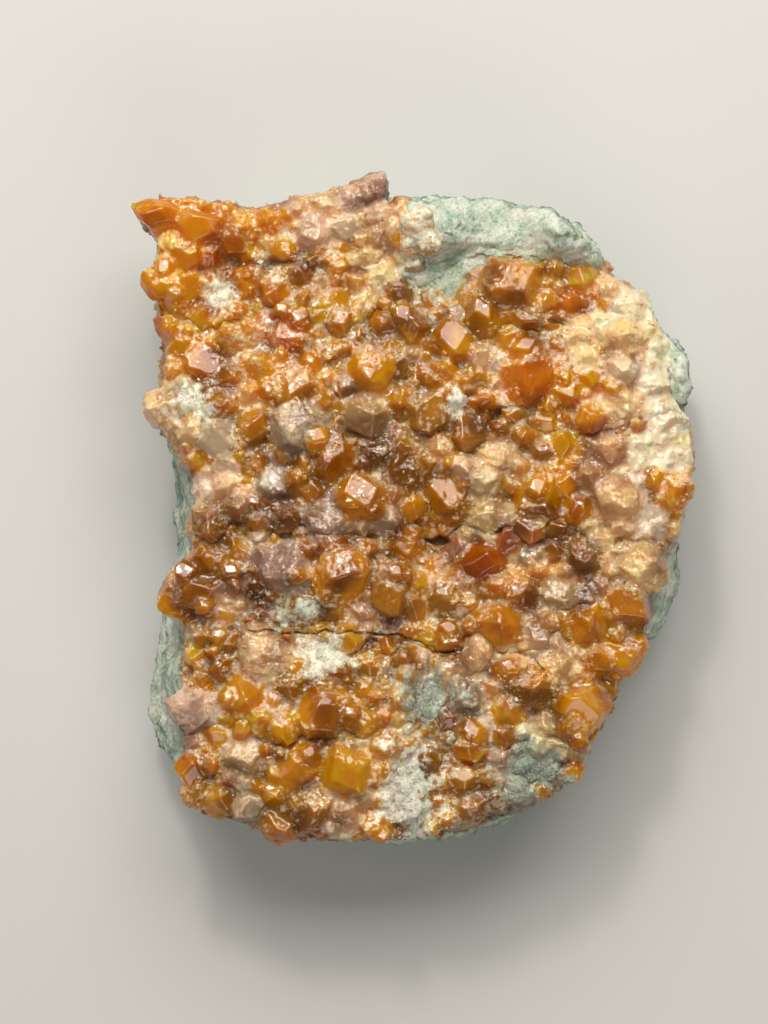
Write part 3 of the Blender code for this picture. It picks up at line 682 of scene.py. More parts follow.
def build_rock():
    """The host rock with a fine broken surface, on the form of its solid."""
    shape = bmesh.new()
    shape.from_mesh(frame["nodes"]["host_rock"].data)
    bmesh.ops.remove_doubles(shape, verts=shape.verts, dist=0.001 * MM)
    rock = object_from(shape, "green_rock")
    mesh = remeshed(rock, ROCK_GRID)
    places = places_of(mesh)
    chips = np.array([chipped(Vector(p)) for p in places])
    chips[places[:, 2] < 0.2 * MM] = 0.0
    move_to(mesh, places + normals_of(mesh) * MM * chips[:, None])
    places = places_of(mesh)
    bank = np.zeros(len(places))
    for px, py, half_width, half_height, height in ROCK_BANKS:
        away = (places[:, :2] - np.array(spot(px, py)[:2])) / (np.array((half_width, half_height)) * MM)
        bank = np.maximum(bank, height * MM / (1.0 + np.linalg.norm(away, axis=1) ** 6))
    raised = np.maximum(places[:, 2], ROCK_LEVEL + bank + 0.6 * MM * chips)
    places[:, 2] = np.where((bank > 0.1 * MM) & (places[:, 2] > ROCK_LEVEL - 0.6 * MM), raised, places[:, 2])
    move_to(mesh, places)
    dust, white = dustiness(places)
    dust[places[:, 2] < ROCK_LEVEL] = 0.0
    lumps = np.array([0.45 - noise.voronoi(Vector(p) / (0.75 * MM))[0][0] for p in places])
    lumps += np.array([0.5 * noise.noise(Vector(p) / (0.30 * MM)) for p in places])
    move_to(mesh, places + normals_of(mesh) * (0.45 * MM * dust * lumps)[:, None])
    keep_at_points(mesh, "dust", dust)
    keep_at_points(mesh, "white", white)
    rock.data.materials.clear()
    rock.data.materials.append(rock_finish())
    smoothed(rock)
    return rock


def chipped(place):
    """Rise of broken rock in millimetres: flat chips, each tilted its own way, under finer roughness."""
    rise = 0.0
    for size, height in ((2.6 * MM, 0.22), (1.1 * MM, 0.15), (0.60 * MM, 0.13)):
        away, middles = noise.voronoi(place / size)
        tilt = noise.noise_vector(middles[0] * 7.3)
        rise += height * (tilt.dot(place / size - middles[0]) * 3.0 + 0.3 - 0.6 * away[0])
    return rise + 0.08 * noise.noise(place / (0.45 * MM))


def build_bed():
    """The layer of massive garnet that the crystals grow from."""
    shape = bmesh.new()
    ring = [shape.verts.new((p.x, p.y, ROCK_LEVEL)) for p in CRUST_EDGE]
    edges = [shape.edges.new(pair) for pair in zip(ring, ring[1:] + ring[:1])]
    made = bmesh.ops.extrude_edge_only(shape, edges=edges)["geom"]
    risen = [g for g in made if isinstance(g, bmesh.types.BMVert)]
    bmesh.ops.translate(shape, vec=(0.0, 0.0, CRUST_LEVEL - ROCK_LEVEL), verts=risen)
    bmesh.ops.holes_fill(shape, edges=shape.edges, sides=0)
    bmesh.ops.triangulate(shape, faces=[f for f in shape.faces if len(f.verts) > 4])
    bmesh.ops.recalc_face_normals(shape, faces=shape.faces)
    bed = object_from(shape, "garnet_bed")
    mesh = remeshed(bed, BED_GRID)
    places = places_of(mesh)
    flat = places[:, :2]
    share = np.clip((places[:, 2] - ROCK_LEVEL) / (CRUST_LEVEL - ROCK_LEVEL), 0.0, 1.0)
    high = crust_heights(flat)
    inside = np.maximum(0.0, depth_inside(flat))
    floor = np.minimum(ROCK_LEVEL + rock_rises(flat) + BED_CLEARANCE, high - LEAST_CRUST)
    floor -= LIP * np.exp(-(inside / LIP_WIDTH) ** 2)
    lumps = 0.40 - cells_at(flat, 1.3 * MM) + 0.5 * (0.35 - cells_at(flat, 0.6 * MM))
    open_rock = np.clip(1.0 - rock_rises(flat) / (6.0 * MM), 0.0, 1.0)
    places[:, 2] = floor + (high - floor + (BED_RISE + 0.8 * MM * lumps) * open_rock) * share
    move_to(mesh, places)
    return bed


def bed_part(bed, low, high, name):
    """The bed of one band. Past the band it sinks below the next one's bed."""
    shape = bmesh.new()
    shape.from_mesh(bed.data)
    for level, side in ((low - OVERLAP, -1.0), (high + OVERLAP, 1.0)):
        everything = shape.verts[:] + shape.edges[:] + shape.faces[:]
        bmesh.ops.bisect_plane(shape, geom=everything, plane_co=(0.0, level, 0.0), plane_no=(0.0, side, 0.0),
                               clear_outer=True)
        bmesh.ops.holes_fill(shape, edges=[e for e in shape.edges if e.is_boundary], sides=0)
    bmesh.ops.triangulate(shape, faces=shape.faces)
    for vert in shape.verts:
        if vert.co.z > ROCK_LEVEL + 1.0 * MM:
            vert.co.z -= 0.8 * max(0.0, low - vert.co.y, vert.co.y - high)
    return object_from(shape, name)


def crystal_shape(chance, bevelled):
    """A garnet of radius 1: the twelve faces of a rhombic dodecahedron, cut at uneven distances from a cube,
    and narrow faces along its edges."""
    shape = bmesh.new()
    bmesh.ops.create_cube(shape, size=4.0)
    planes = []
    for signs in ((1, 1), (1, -1), (-1, 1), (-1, -1)):
        for empty in range(3):
            normal = list(signs)
            normal.insert(empty, 0)
            planes.append((Vector(normal).normalized(), math.sqrt(0.5) * chance.uniform(0.80, 1.12)))
    if bevelled:
        for longest in range(3):
            for x in (1, -1):
                for y in (1, -1):
                    for z in (1, -1):
                        normal = Vector((x, y, z))
                        normal[longest] *= 2.0
                        planes.append((normal.normalized(), 2.0 / math.sqrt(6.0) * chance.uniform(0.92, 1.02)))
    for normal, distance in planes:
        everything = shape.verts[:] + shape.edges[:] + shape.faces[:]
        bmesh.ops.bisect_plane(shape, geom=everything, plane_co=normal * distance, plane_no=normal, clear_outer=True)
        bmesh.ops.holes_fill(shape, edges=[e for e in shape.edges if e.is_boundary], sides=0)
    bmesh.ops.remove_doubles(shape, verts=shape.verts, dist=0.002)
    bmesh.ops.recalc_face_normals(shape, faces=shape.faces)
    return shape


def block_shape(chance):
    """A small blunt grain: a box with uneven corners."""
    shape = bmesh.new()
    bmesh.ops.create_cube(shape, size=1.3)
    for vert in shape.verts:
        vert.co *= chance.uniform(0.75, 1.15)
    return shape


def shape_collection(name, count, maker):
    """Some crystals of radius 1 to make copies of."""
    kept = bpy.data.collections.new(name)
    for number in range(count):
        thing = object_from(maker(random.Random(f"{name} {number}")), f"{name} {number:02d}")
        bpy.context.scene.collection.objects.unlink(thing)
        kept.objects.link(thing)
    return kept


def keep_at_points(mesh, name, values):
    """Stores a colour or a number for each point, for the material to read."""
    values = np.asarray(values, np.float32)
    if values.ndim == 2:
        layer = mesh.attributes.new(name, "FLOAT_COLOR", "POINT")
        layer.data.foreach_set("color", np.hstack([values, np.ones((len(values), 1), np.float32)]).ravel())
    else:
        layer = mesh.attributes.new(name, "FLOAT", "POINT")
        layer.data.foreach_set("value", values)


def dustiness(places):
    """How thick the pale powder lies at points, and how white it is there."""
    ragged = np.array([0.9 * noise.noise(Vector(p) / (1.5 * MM)) + 0.7 * noise.noise(Vector(p) / (0.5 * MM))
                       for p in places])
    thick = np.zeros(len(places))
    white = np.full(len(places), 0.5)
    for px, py, half_x, half_y, density, whiteness in DUST:
        away = (places[:, :2] - np.array(spot(px, py)[:2])) / (np.array((half_x, half_y)) * PIXEL)
        here = density * (1.35 - np.linalg.norm(away, axis=1) + ragged)
        white = np.where(here > thick, whiteness, white)
        thick = np.maximum(thick, here)
    return np.clip(thick, 0.0, 1.0), white


def toned_by(seeds, places):
    """Tone, frost and the painted shade of pits at points, from the crystals around them.

    Frost is 1 in a gap and 0 well inside a crystal. The painted shade is 1 deep below the crust's face, in recesses."""
    tree = KDTree(len(seeds))
    for number, seed in enumerate(seeds):
        tree.insert(seed[0], number)
    tree.balance()
    middles = np.array([tuple(seed[0]) for seed in seeds])
    radii = np.array([sum(seed[2]) / 3.0 for seed in seeds])
    tones = np.array([seed[3] for seed in seeds])
    near = np.array([[found[1] for found in tree.find_n(place, 8)] for place in places])
    away = np.linalg.norm(middles[near] - places[:, None, :], axis=2) / radii[near]
    pull = np.exp(-9.0 * away)
    shares = pull / pull.sum(axis=1, keepdims=True)
    shares = shares ** 3
    shares /= shares.sum(axis=1, keepdims=True)
    toned = (tones[near] * shares[:, :, None]).sum(axis=1)
    order = np.sort(away, axis=1)
    gap = np.clip(1.0 - (order[:, 1] - order[:, 0]) / 0.42, 0.0, 1.0)
    between = np.clip((order[:, 0] - 0.80) / 0.35, 0.0, 1.0)
    frost = gap + 0.9 * (1.0 - toned[:, 3]) - 0.25 + 0.6 * between
    face = crust_heights(places[:, :2]) + BED_RISE
    # Painted shade: points that lie below the crust's face, in recesses between crystals, are to be darkened
    pit_shade = np.clip((face - places[:, 2]) / (0.9 * MM), 0.0, 1.0)
    shade = np.array([1.00 * noise.noise(Vector(p) / (3.6 * MM)) + 0.95 * noise.noise(Vector(p) / (1.7 * MM))
                      for p in places])
    shade *= 1.0 - 0.65 * np.clip((toned[:, 2] - 0.30) / 0.15, 0.0, 1.0)
    redder = np.where(shade[:, None] < 0.0, np.array((0.80, 1.0, 1.05)), 0.75)
    tint = np.array((0.90, 0.92, 0.88)) * np.clip(1.0 + shade[:, None] * redder, (0.52, 0.42, 0.40), 1.7)
    for px, py, spread, colour in TINTS:
        away = np.linalg.norm(places[:, :2] - np.array(spot(px, py)[:2]), axis=1) / (spread * MM)
        tint *= 1.0 + (np.array(colour) - 1.0) * np.exp(-0.5 * away * away)[:, None]
    dust, white = dustiness(places)
    return {"tint": tint, "clear": toned[:, 3], "tone": toned[:, :3], "frost": frost,
            "gap": np.maximum(gap, between), "pit_shade": pit_shade, "dust": dust, "white": white}


def keep_tones(mesh, seeds):
    """Stores what the crystals around each point give it."""
    kept = toned_by(seeds, places_of(mesh))
    for name in ("tint", "tone", "frost", "pit_shade", "dust", "white"):
        keep_at_points(mesh, name, kept[name])
    return kept


def weathered(thing, seeds):
    """Turns a union of crystals and bed into one grown mass: valleys filled, faces kept flat, then the fine
    unevenness, the cracks and the thickness of the powder. Its tone and frost are kept at its points."""
    sharp = BVHTree.FromObject(thing, bpy.context.evaluated_depsgraph_get())
    mesh = remeshed(thing, 1.5 * CRYSTAL_GRID)
    move_to(mesh, places_of(mesh) + CLOSING * normals_of(mesh))
    mesh = remeshed(thing, CRYSTAL_GRID)
    normals = normals_of(mesh)
    places = places_of(mesh) - CLOSING * normals
    hits = [sharp.find_nearest(Vector(place), 0.12 * MM)[0] for place in places]
    toward = np.array([(0.0, 0.0, -1.0) if hit is None else tuple(hit) for hit in hits])
    toward = np.where(toward[:, 2:] < -0.5, 0.0, toward - places)
    outward = (toward * normals).sum(axis=1)
    places += np.where(outward > -0.025 * MM, 1.0, 0.0)[:, None] * toward
    move_to(mesh, places)
    mesh = thinned(thing)
    places = places_of(mesh)
    normals = normals_of(mesh)
    kept = toned_by(seeds, places)
    below = np.clip((crust_heights(places[:, :2]) - places[:, 2]) / MM - 0.2, 0.0, 1.0)
    wall = below * np.clip(1.5 - 2.0 * np.abs(normals[:, 2]), 0.0, 1.0) * (depth_inside(places[:, :2]) < 1.0 * MM)
    # Painted shade is weaker on the crust's rim walls
    kept["pit_shade"] *= 1.0 - 0.75 * wall
    kept["frost"] += 0.7 * wall
    waves = np.array([noise.noise(Vector(p) / (0.9 * MM)) for p in places])
    lumps = np.array([0.4 - noise.voronoi(Vector(p) / (0.42 * MM))[0][0] for p in places])
    fine = np.array([0.4 - noise.voronoi(Vector(p) / (0.24 * MM))[0][0] for p in places])
    upper = np.clip(normals @ np.array((0.0, 0.85, 0.53)) - 0.3, 0.0, 0.7)
    patchy = np.array([0.5 + 1.5 * noise.noise(Vector(p) / (0.8 * MM)) for p in places])
    soft = np.clip(kept["gap"] + kept["dust"] + 0.75 * (1.0 - kept["clear"]) + upper * patchy + wall, 0.0, 1.0)
    rise = 0.04 * waves + (0.010 + 0.12 * soft) * lumps + (0.004 + 0.05 * soft) * fine + 0.10 * kept["dust"]
    rise += np.array([1.5 * share * chipped(Vector(p)) if share > 0.02 else 0.0 for p, share in zip(places, wall)])
    deep = carved(places[:, :2]) * np.clip((places[:, 2] - ROCK_LEVEL) / MM - 1.0, 0.0, 1.0)
    # Painted shade also in the carved cracks and hollows
    kept["pit_shade"] = np.maximum(kept["pit_shade"], np.clip(deep / (0.5 * MM), 0.0, 1.0))
    places += normals * MM * rise[:, None]
    places[:, 2] -= deep
    move_to(mesh, places)
    for name in ("tint", "tone", "frost", "pit_shade", "dust", "white"):
        keep_at_points(mesh, name, kept[name])
    smoothed(thing)


def hidden_block():
    """What is taken out of the underside of the crust."""
    shape = bmesh.new()
    middle = sum(CRUST_EDGE, Vector()) / len(CRUST_EDGE)
    ring = [shape.verts.new(middle + (p - middle) * HOLLOW_SCALE) for p in CRUST_EDGE]
    made = bmesh.ops.extrude_face_region(shape, geom=[shape.faces.new(ring)])["geom"]
    risen = [g for g in made if isinstance(g, bmesh.types.BMVert)]
    bmesh.ops.translate(shape, vec=(0.0, 0.0, HOLLOW_LEVEL), verts=risen)
    bmesh.ops.triangulate(shape, faces=shape.faces)
    bmesh.ops.recalc_face_normals(shape, faces=shape.faces)
    return object_from(shape, "block")


def thinned(thing):
    """Gives the hidden underside of the crust fewer faces."""
    places = places_of(thing.data)
    hidden = (places[:, 2] < HOLLOW_LEVEL + 0.5 * MM) & (depth_inside(places[:, :2]) > 0.8 * MM)
    group = thing.vertex_groups.new(name="hidden")
    group.add([int(index) for index in np.flatnonzero(hidden)], 1.0, "REPLACE")
    fewer = thing.modifiers.new("fewer", "DECIMATE")
    fewer.ratio = 1.0 - 0.92 * hidden.mean()
    fewer.vertex_group = group.name
    fewer.vertex_group_factor = 100.0
    mesh = apply_modifiers(thing)
    thing.vertex_groups.clear()
    return mesh


def grown_together(name, seeds, shapes, base, block):
    """One solid of the bed and all the crystals at the seeds, joined where they overlap."""
    shapes = list(shapes.objects)
    singles = bpy.data.collections.new(name)
    bpy.context.scene.collection.children.link(singles)
    for place, turn, size, tone, number in seeds:
        mesh = shapes[number % len(shapes)].data.copy()
        mesh.transform(Matrix.LocRotScale(place, turn.to_quaternion(), Vector(size)))
        singles.objects.link(bpy.data.objects.new(name, mesh))
    union = base.modifiers.new("joined", "BOOLEAN")
    union.operation = "UNION"
    union.operand_type = "COLLECTION"
    union.collection = singles
    union.solver = "MANIFOLD"
    hollow = base.modifiers.new("hollow", "BOOLEAN")
    hollow.operation = "DIFFERENCE"
    hollow.object = block
    hollow.solver = "MANIFOLD"
    apply_modifiers(base)
    for single in list(singles.objects):
        bpy.data.objects.remove(single)
    bpy.data.collections.remove(singles)
    base.name = name
    return base


def scatter(name, seeds, shapes):
    """One mesh with a copy of one of the shapes at each seed: (place, turn, size, tone, number of the shape)."""
    points = bmesh.new()
    turn_layer = points.verts.layers.float_vector.new("turn")
    size_layer = points.verts.layers.float_vector.new("size")
    tone_layer = points.verts.layers.float_color.new("tone")
    shape_layer = points.verts.layers.int.new("shape")
    for place, turn, size, tone, number in seeds:
        vert = points.verts.new(place)
        vert[turn_layer] = Vector(turn.to_euler())
        vert[size_layer] = Vector(size)
        vert[tone_layer] = tone
        vert[shape_layer] = number
    grown = object_from(points, name)
    tree = bpy.data.node_groups.new(name, "GeometryNodeTree")
    tree.interface.new_socket("Geometry", in_out="INPUT", socket_type="NodeSocketGeometry")
    tree.interface.new_socket("Geometry", in_out="OUTPUT", socket_type="NodeSocketGeometry")
    start = tree.nodes.new("NodeGroupInput")
    end = tree.nodes.new("NodeGroupOutput")
    copies = tree.nodes.new("GeometryNodeInstanceOnPoints")
    copies.inputs["Pick Instance"].default_value = True
    source = tree.nodes.new("GeometryNodeCollectionInfo")
    source.inputs["Collection"].default_value = shapes
    source.inputs["Separate Children"].default_value = True
    real = tree.nodes.new("GeometryNodeRealizeInstances")
    tree.links.new(start.outputs["Geometry"], copies.inputs["Points"])
    tree.links.new(source.outputs["Instances"], copies.inputs["Instance"])
    for attribute, kind, socket in (("turn", "FLOAT_VECTOR", "Rotation"), ("size", "FLOAT_VECTOR", "Scale"),
                                    ("shape", "INT", "Instance Index")):
        read = tree.nodes.new("GeometryNodeInputNamedAttribute")
        read.data_type = kind
        read.inputs["Name"].default_value = attribute
        tree.links.new(read.outputs["Attribute"], copies.inputs[socket])
    tree.links.new(copies.outputs["Instances"], real.inputs["Geometry"])
    tree.links.new(real.outputs["Geometry"], end.inputs["Geometry"])
    grown.modifiers.new("copies", "NODES").node_group = tree
    mesh = apply_modifiers(grown)
    for unused in ("turn", "size", "shape"):
        if unused in mesh.attributes:
            mesh.attributes.remove(mesh.attributes[unused])
    return grown


def free_turn(chance):
    turn = Matrix.Identity(3)
    for axis in "ZXY":
        turn = turn @ Matrix.Rotation(chance.uniform(0.0, math.tau), 3, axis)
    return turn


def lit_turn(chance, aside):
    """A turn that brings one face half way between straight up and the key light, or somewhat aside of it."""
    bearing = math.radians(aside)
    half_way = Vector((math.sin(bearing) * math.cos(KEY_ELEVATION), math.cos(bearing) * math.cos(KEY_ELEVATION),
                       1.0 + math.sin(KEY_ELEVATION))).normalized()
    spin = Matrix.Rotation(chance.uniform(0.0, math.tau), 3, "Z")
    face_up = Vector((1.0, 1.0, 0.0)).rotation_difference(Vector((0.0, 0.0, 1.0))).to_matrix()
    lean = Vector((0.0, 0.0, 1.0)).rotation_difference(half_way).to_matrix()
    return lean @ spin @ face_up


def vary(tone, chance, amount):
    """A tone a little brighter or darker, and a little nearer to red or yellow."""
    bright = chance.uniform(1.0 - amount, 1.0 + amount)
    yellow = chance.uniform(1.0 - 0.5 * amount, 1.0 + 0.5 * amount)
    red, green, blue, clear = tone
    bright = min(bright, 1.0 / red)
    return [red * bright, min(0.84 * red, green * yellow) * bright, blue * bright, clear]


def steps_on(seed, chance):
    """Growth steps: slightly smaller crystals with the same turn, shifted off the middle of a large one."""
    place, turn, size, tone, number = seed
    made = []
    for _ in range(chance.choice((1, 2, 3, 3))):
        shift = Vector([chance.uniform(-1.0, 1.0) for _ in range(3)]).normalized() * max(size) * chance.uniform(0.22, 0.55)
        shift.z = -abs(shift.z) * 0.3
        smaller = chance.uniform(0.50, 0.85)
        made.append((place + shift, turn, [s * smaller for s in size], vary(tone, chance, 0.06), chance.randrange(16)))
    return made


def crystal_seeds():
    named = []
    for region, entries in CRYSTALS.items():
        for number, entry in enumerate(entries):
            named.append((f"{region} {number}", *entry, False))
    for number, entry in enumerate(ON_ROCK):
        named.append((f"on rock {number}", *entry, True))
    flat = np.array([spot(px, py)[:2] for _, px, py, _, _, _ in named])
    heights = crust_heights(flat) + BED_RISE
    bare = ROCK_LEVEL + rock_rises(flat)
    seeds = []
    for (name, px, py, radius_mm, tone, on_rock), height, rock in zip(named, heights, bare):
        chance = random.Random(name)
        turn = free_turn(chance)
        stretch = [chance.uniform(*UNEVEN) for _ in range(3)]
        if tone.isupper():
            turn = lit_turn(chance, chance.choice((-1.0, 1.0)) * chance.uniform(14.0, 30.0))
        radius = BURIED * radius_mm * MM
        middle = spot(px, py)
        middle.z = rock - 0.65 * radius if on_rock else height + chance.uniform(*STAND) * radius
        if tone == "c":
            middle.z -= 0.40 * radius
        size = [radius * s for s in stretch]
        seed = (middle, turn, size, vary(TONES[tone.lower()], chance, 0.20), chance.randrange(16))
        seeds.append(seed)
        if not on_rock:
            seeds.extend(steps_on(seed, chance))
    heights = crust_heights(np.array([spot(px, py)[:2] for px, py, *_ in LONG])) + BED_RISE
    for (px, py, *halves, bearing, tone), height in zip(LONG, heights):
        chance = random.Random(f"long {px}")
        turn = Matrix.Rotation(math.radians(bearing), 3, "Z") @ Matrix.Rotation(math.radians(chance.uniform(50, 58)), 3, "X")
        middle = spot(px, py)
        middle.z = height - 0.2 * halves[2] * MM
        tone = [*TONES[tone][:3], 1.3 * TONES[tone][3]]
        seeds.append((middle, turn, [half * MM for half in halves], tone, chance.randrange(16)))
    return seeds


def bright_seeds(seeds):
    """Small clear crystals on top of the others, with a face that mirrors the light."""
    made = []
    for number, (px, py, radius_mm) in enumerate(BRIGHT):
        chance = random.Random(f"bright {number}")
        middle = spot(px, py)
        radius = 1.8 * BURIED * radius_mm * MM
        top = 0.0
        for place, _, size, _, _ in seeds:
            mean = sum(size) / 3.0
            away = (place - middle).to_2d().length
            if away < 0.9 * mean:
                top = max(top, place.z + 0.85 * math.sqrt(mean * mean - away * away))
        middle.z = top - 0.60 * radius
        size = [radius * chance.uniform(*UNEVEN) for _ in range(3)]
        tone = [*TONES["a"][:3], 1.6]
        made.append((middle, lit_turn(chance, chance.uniform(-5.0, 5.0)), size, tone, chance.randrange(16)))
    return made


def fill_seeds(large):
    """Small crystals in the room that the large ones leave, each toned like its surroundings."""
    chance = random.Random("fill")
    low = Vector((min(p.x for p in CRUST_EDGE), min(p.y for p in CRUST_EDGE)))
    high = Vector((max(p.x for p in CRUST_EDGE), max(p.y for p in CRUST_EDGE)))
    flat = np.array([(chance.uniform(low.x, high.x), chance.uniform(low.y, high.y)) for _ in range(FILL_TRIES)])
    depth = depth_inside(flat)
    free = (depth > 0.1 * MM) & (rock_rises(flat) < 2.0 * MM)
    heights = crust_heights(flat) + BED_RISE
    large_places = np.array([tuple(seed[0][:2]) for seed in large])
    places = list(large_places)
    radii = [max(seed[2]) for seed in large]
    seeds = []
    for step in range(FILL_TRIES):
        share = (step / FILL_TRIES) ** 0.6
        radius = FILL_RADIUS[0] + (FILL_RADIUS[1] - FILL_RADIUS[0]) * share
        if not free[step] or depth[step] < 0.6 * radius:
            continue
        away = np.linalg.norm(np.array(places) - flat[step], axis=1)
        if (away < FILL_SPACING * (np.array(radii) + radius)).any():
            continue
        places.append(flat[step])
        radii.append(radius)
        near = large[int(np.argmin(np.linalg.norm(large_places - flat[step], axis=1)))][3]
        other = TONES[chance.choice("ppccy" if near[2] > 0.2 and near[3] < 0.3 else "ooooaaayyrbpm")]
        blend = chance.uniform(0.1, 0.6)
        tone = [blend * a + (1.0 - blend) * b for a, b in zip(near, other)]
        middle = Vector((*flat[step], heights[step] + chance.uniform(-0.65, 0.0) * radius))
        if near[2] > 0.4:
            middle.z -= 0.35 * radius
        tone[3] *= 0.75
        size = [radius * chance.uniform(*UNEVEN) for _ in range(3)]
        seeds.append((middle, free_turn(chance), size, vary(tone, chance, 0.25), chance.randrange(16)))
    return seeds


def rim_seeds(large):
    """Crystals that stand out of the crust's broken rim, in two uneven rows below its face."""
    chance = random.Random("rim")
    places = []
    for a, b in zip(CRUST_EDGE, CRUST_EDGE[1:] + CRUST_EDGE[:1]):
        out = Vector((b.y - a.y, a.x - b.x, 0.0)).normalized()
        for step in range(int((b - a).length / (0.65 * MM)) + 1):
            places.append((a.lerp(b, chance.random()), out))
    faces = crust_heights(np.array([tuple(place)[:2] for place, _ in places]))
    inward = -1.0 if depth_inside(np.array([tuple(places[0][0] + places[0][1] * MM)[:2]]))[0] < 0.0 else 1.0
    seeds = []
    for (place, out), face in zip(places, faces):
        if (place - spot(*SPUR)).length < 6.0 * MM:
            continue
        radius = chance.uniform(0.5, 0.95) * MM
        middle = place + out * inward * (radius + chance.uniform(-0.45, 0.05) * MM)
        middle.z = face + BED_RISE - chance.uniform(0.5, 3.8) * MM
        near = min(large, key=lambda seed: (seed[0] - middle).length)[3]
        other = TONES[chance.choice("aabppmco")]
        blend = chance.uniform(0.3, 0.8)
        tone = [blend * a + (1.0 - blend) * b for a, b in zip(near, other)]
        size = [radius * chance.uniform(*UNEVEN) for _ in range(3)]
        seeds.append((middle, free_turn(chance), size, vary(tone, chance, 0.25), chance.randrange(16)))
    return seeds


def seam_shift(place):
    """How far the seam between two bands wanders at a place, so that no straight line shows."""
    return 2.2 * MM * noise.noise(Vector((place.x / (1.9 * MM), place.y / (6.0 * MM), 3.3)))


def dropped(grounds, flat):
    """The topmost points of the grounds under flat places."""
    graph = bpy.context.evaluated_depsgraph_get()
    trees = [BVHTree.FromObject(thing, graph) for thing in grounds]
    places = []
    for x, y in flat:
        above = Vector((x, y, 30.0 * MM))
        hits = [tree.ray_cast(above, Vector((0.0, 0.0, -1.0))) for tree in trees]
        hits = [hit[0] for hit in hits if hit[0] is not None]
        places.append(max(hits, key=lambda place: place.z) if hits else None)
    return places


def grain_seeds(grounds, seeds):
    """Tiny crystals that lie in the gaps between the others."""
    chance = random.Random("grains")
    low = Vector((min(p.x for p in CRUST_EDGE), min(p.y for p in CRUST_EDGE)))
    high = Vector((max(p.x for p in CRUST_EDGE), max(p.y for p in CRUST_EDGE)))
    flat = np.array([(chance.uniform(low.x, high.x), chance.uniform(low.y, high.y)) for _ in range(GRAIN_TRIES)])
    places = [place for place in dropped(grounds, flat[depth_inside(flat) > 0.05 * MM]) if place is not None]
    kept = toned_by(seeds, np.array([tuple(place) for place in places]))
    # Grains in recesses get the same painted shade as the crust there
    shaded = kept["tone"] * kept["tint"] * (1.0 - 0.65 * kept["pit_shade"][:, None])
    made = []
    bare = (carved(np.array([p[:2] for p in places])) > 0.1 * MM) | (kept["dust"] > 0.3)
    for place, near, gap, none in zip(places, shaded, kept["gap"], bare):
        patch = noise.noise(place / (0.9 * MM))
        if none or gap < 0.25 or chance.random() > 0.7 * gap - 0.35 + 0.9 * patch:
            continue
        radius = GRAIN_RADIUS[0] + (GRAIN_RADIUS[1] - GRAIN_RADIUS[0]) * chance.random() ** 3
        other = TONES[chance.choice("abbppmc")]
        blend = chance.uniform(0.1, 0.45)
        tone = [(1.0 - blend) * a + blend * b * min(1.0, near[0] + 0.2) for a, b in zip((*near, 1.0), other)]
        size = [radius * chance.uniform(*UNEVEN) for _ in range(3)]
        place.z -= 0.45 * radius
        made.append((place, free_turn(chance), size, vary(tone, chance, 0.15), chance.randrange(8)))
    return made


def dust_seeds(grounds):
    """Loose grains of the pale powdery patches, where the powder lies thick."""
    chance = random.Random("dust")
    weights = [half_x * half_y * density for _, _, half_x, half_y, density, _ in DUST]
    flat = []
    for px, py, half_x, half_y, _, _ in chance.choices(DUST, weights, k=DUST_TRIES):
        out = math.sqrt(chance.random()) * 1.15
        angle = chance.uniform(0.0, math.tau)
        flat.append(tuple(spot(px + half_x * out * math.cos(angle), py + half_y * out * math.sin(angle))[:2]))
    places = [place for place in dropped(grounds, flat) if place is not None and place.z > 2.0 * MM]
    thick, whites = dustiness(np.array([tuple(place) for place in places]))
    made = []
    for place, thickness, white in zip(places, thick, whites):
        if thickness < chance.uniform(0.35, 1.0):
            continue
        radius = DUST_RADIUS[0] + (DUST_RADIUS[1] - DUST_RADIUS[0]) * chance.random() ** 2
        share = min(1.0, max(0.0, white + chance.uniform(-0.25, 0.25)))
        tone = [a + (b - a) * share for a, b in zip(*DUST_TONES)] + [1.0]
        size = [radius * chance.uniform(*UNEVEN) for _ in range(3)]
        made.append((place, free_turn(chance), size, vary(tone, chance, 0.12), chance.randrange(8)))
    return made


def build_stage():
    """A plain pale floor, a pale world, a large key light from the top of the view, and two weaker ones."""
    shape = bmesh.new()
    bmesh.ops.create_grid(shape, x_segments=1, y_segments=1, size=1.5)
    floor = object_from(shape, "floor")
    floor.data.materials.append(plain_finish("floor", (0.72, 0.72, 0.71), 0.9))
    world = bpy.data.worlds.new("studio")
    bpy.context.scene.world = world
    world.use_nodes = True
    world.node_tree.nodes["Background"].inputs["Color"].default_value = (1.0, 0.98, 0.93, 1.0)
    world.node_tree.nodes["Background"].inputs["Strength"].default_value = 0.10
    lights = [
        ("key", (0.0, math.cos(KEY_ELEVATION), math.sin(KEY_ELEVATION)), 0.30, (0.31, 0.20), 0.84),
        ("window", (-0.15, math.cos(KEY_ELEVATION), math.sin(KEY_ELEVATION)), 0.28, (0.035, 0.035), 0.16),
        ("side", (-0.8, 0.1, 0.6), 0.40, (0.20, 0.20), 0.12),
        ("front", (0.25, -0.75, 0.6), 0.40, (0.25, 0.20), 0.30),
    ]
    for name, direction, distance, (width, height), power in lights:
        lamp = bpy.data.lights.new(name, "AREA")
        lamp.shape = "RECTANGLE"
        lamp.size = width
        lamp.size_y = height
        lamp.energy = power
        lamp.color = (1.0, 0.95, 0.87)
        holder = bpy.data.objects.new(name, lamp)
        bpy.context.scene.collection.objects.link(holder)
        out = Vector(direction).normalized()
        holder.location = out * distance
        holder.rotation_mode = "QUATERNION"
        holder.rotation_quaternion = out.to_track_quat("Z", "Y")


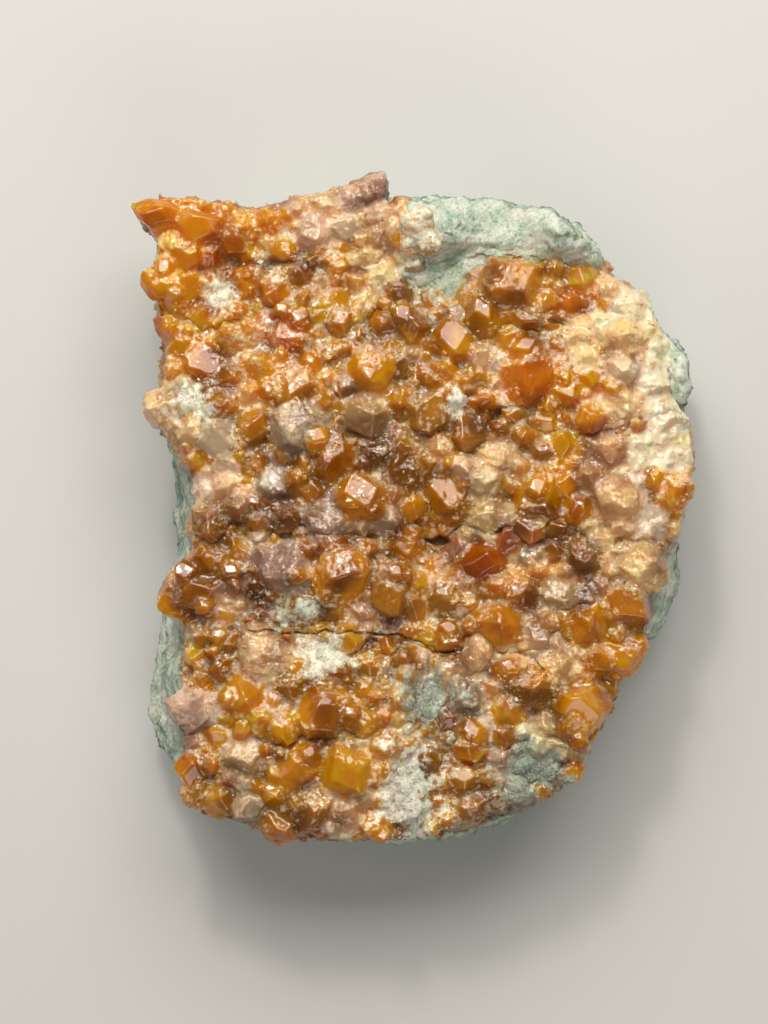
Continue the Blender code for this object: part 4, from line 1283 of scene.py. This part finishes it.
def build_camera():
    """Looks straight down on the crystal face, framed as the photograph is."""
    lens = bpy.data.cameras.new("camera")
    lens.sensor_width = SENSOR
    lens.lens = SENSOR * (CAMERA_HEIGHT - FACE_LEVEL) / (max(FRAME_PX) * PIXEL)
    lens.clip_start = 0.01
    lens.clip_end = 10.0
    camera = bpy.data.objects.new("camera", lens)
    bpy.context.scene.collection.objects.link(camera)
    camera.location = spot(FRAME_PX[0] / 2, FRAME_PX[1] / 2)
    camera.location.z = CAMERA_HEIGHT
    bpy.context.scene.camera = camera


def main():
    build_stage()
    build_camera()
    bpy.context.scene.view_settings.view_transform = "Standard"
    rock = build_rock()
    bed = build_bed()
    large = crystal_seeds()
    shapes = shape_collection("crystal shape", 16, lambda chance: crystal_shape(chance, True))
    seeds = large + fill_seeds(large) + rim_seeds(large)
    seeds += bright_seeds(seeds)
    levels = [spot(0, py).y for py in (0, *BANDS, 1024)]
    crystals = []
    block = hidden_block()
    for number, (high, low) in enumerate(zip(levels, levels[1:])):
        name = f"garnet_crystals_{number + 1}"
        band = [seed for seed in seeds if low <= seed[0].y + seam_shift(seed[0]) < high]
        grown = grown_together(name, band, shapes, bed_part(bed, low, high, name), block)
        weathered(grown, [seed for seed in seeds if low - 4.0 * MM <= seed[0].y < high + 4.0 * MM])
        crystals.append(grown)
    bpy.data.objects.remove(bed)
    bpy.data.objects.remove(block)
    small_shapes = shape_collection("small crystal shape", 8, lambda chance: crystal_shape(chance, False))
    grains = scatter("garnet_grains", grain_seeds([rock, *crystals], seeds), small_shapes)
    keep_at_points(grains.data, "frost", np.full(len(grains.data.vertices), 0.5))
    keep_at_points(grains.data, "tint", np.ones((len(grains.data.vertices), 3)))
    dust = scatter("pale_dust", dust_seeds([rock, *crystals]), shape_collection("dust shape", 8, block_shape))
    clear = garnet_finish("clear garnet", 0.36, 0.12, 1.8 * MM)
    sugary = garnet_finish("sugary garnet", 0.20, 0.10, 0.0)
    for thing, finish in (*((piece, clear) for piece in crystals), (grains, sugary), (dust, dust_finish())):
        thing.data.materials.clear()
        thing.data.materials.append(finish)
        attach(thing, "root")
        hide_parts("garnet_crust")
    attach(rock, "root")
    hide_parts("host_rock")
    for thing in (rock, *crystals, grains, dust):
        print(thing.name, len(thing.data.polygons), "faces")


main()
